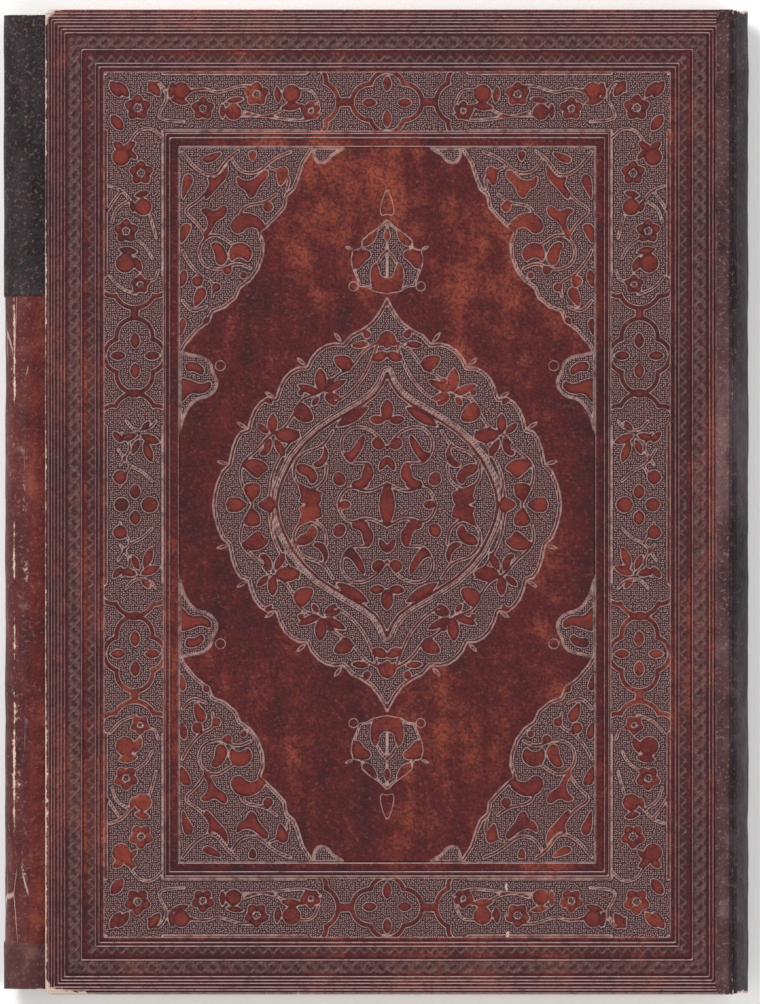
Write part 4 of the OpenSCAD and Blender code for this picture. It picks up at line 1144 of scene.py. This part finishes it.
def patch(name, y0, y1, material, stands=0.28):
    """A patch pasted over the flap. Parameters: place along Y and along the section, its edges feathered down to the leather below."""
    section, inner = wrap_profile(0.0), wrap_profile(-0.9)
    flat = np.stack([np.linspace(HINGE_X + 1, COVER_X0 / MM + 0.6, 6), np.full(6, FLAP_TOP)], 1)
    keep = (section[:, 0] < HINGE_X + 0.3) | (section[:, 1] > 5)
    section = np.concatenate([section[keep], flat])
    inner = np.concatenate([inner[keep], flat - [0, 0.9]])
    ys = np.linspace(y0, y1, max(int(y1 - y0) * 2, 40))
    y, k = np.meshgrid(ys, np.arange(len(section)), indexing="ij")
    normal = (section - inner)[k] / 0.9
    cut = y0 > 0
    ragged = 0.6 * ripple(section[k][..., 0] * 3 + section[k][..., 1], 0 * y, 13, 0.5)
    free = (y - y0) if cut else (y1 - y)
    y = y + ragged * np.exp(-free / 2) * (1 if cut else -1)
    edge = ease(free, -0.1, 0.6)
    rising = ease(section[k][..., 0], HINGE_X, COVER_X0 / MM)
    lift = (stands + 0.5) * edge - 0.5 + (0.1 - 0.08 * rising) * ripple(y, section[k][..., 1] * 2, 24, 1.6) - 0.06 * rising
    point = section[k] + normal * lift[..., None]
    point[..., 1] = np.maximum(point[..., 1], 0.01)
    worn = 0.3 * np.exp(-free / 0.7) + 0.4 * np.exp(-(FLAP_HALF - np.abs(y)) / 0.9)
    piece = add_grid(name + "_skin", np.stack([point[..., 0], y, point[..., 1]], -1) * MM, material, {"worn": worn})
    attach(piece, "book")
    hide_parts(name)


flap_outer()
envelope_face()
patch("head_repair_patch", PATCH_Y, FLAP_HALF + 0.2, M_PATCH)
patch("tail_repair_patch", -FLAP_HALF - 0.2, TAIL_Y, M_PATCH_BROWN)


# ---------------------------------------------------------------- stage

def floor():
    s, t = np.meshgrid(np.linspace(-3, 3, 25), np.linspace(-3, 3, 25), indexing="ij")
    material, net, shader = new_material("Pale floor")
    shader.inputs["Base Color"].default_value = (0.97, 0.97, 0.97, 1)
    shader.inputs["Roughness"].default_value = 0.9
    piece = add_grid("floor", np.stack([s, t, 0 * s - 0.0002], -1), material)


def area_light(name, at, size, power, colour=(1, 1, 1)):
    data = bpy.data.lights.new(name, "AREA")
    data.shape, data.size, data.size_y = "RECTANGLE", size[0], size[1]
    data.energy, data.color = power, colour
    light = bpy.data.objects.new(name, data)
    light.location = at
    bpy.context.scene.collection.objects.link(light)
    light.rotation_euler = (-Vector(at)).to_track_quat("-Z", "Y").to_euler()


floor()
area_light("key", (-1.3, 1.5, 1.6), (0.9, 0.9), 40)
area_light("fill", (1.6, -0.6, 1.9), (1.4, 1.4), 17)
world = bpy.data.worlds.new("Studio")
world.use_nodes = True
world.node_tree.nodes["Background"].inputs[0].default_value = (1, 1, 1, 1)
world.node_tree.nodes["Background"].inputs[1].default_value = 0.7
bpy.context.scene.world = world

camera_data = bpy.data.cameras.new("camera")
camera = bpy.data.objects.new("camera", camera_data)
bpy.context.scene.collection.objects.link(camera)
bpy.context.scene.camera = camera
DISTANCE = 8.0
camera.location = ((380 - 377) * UNIT * MM, 0, TOP + DISTANCE)
camera_data.sensor_fit = "HORIZONTAL"
camera_data.sensor_width = 36
camera_data.lens = 36 * DISTANCE / (760 * UNIT * MM) * 1.004
camera_data.clip_end = 20
bpy.context.scene.view_settings.view_transform = "Standard"
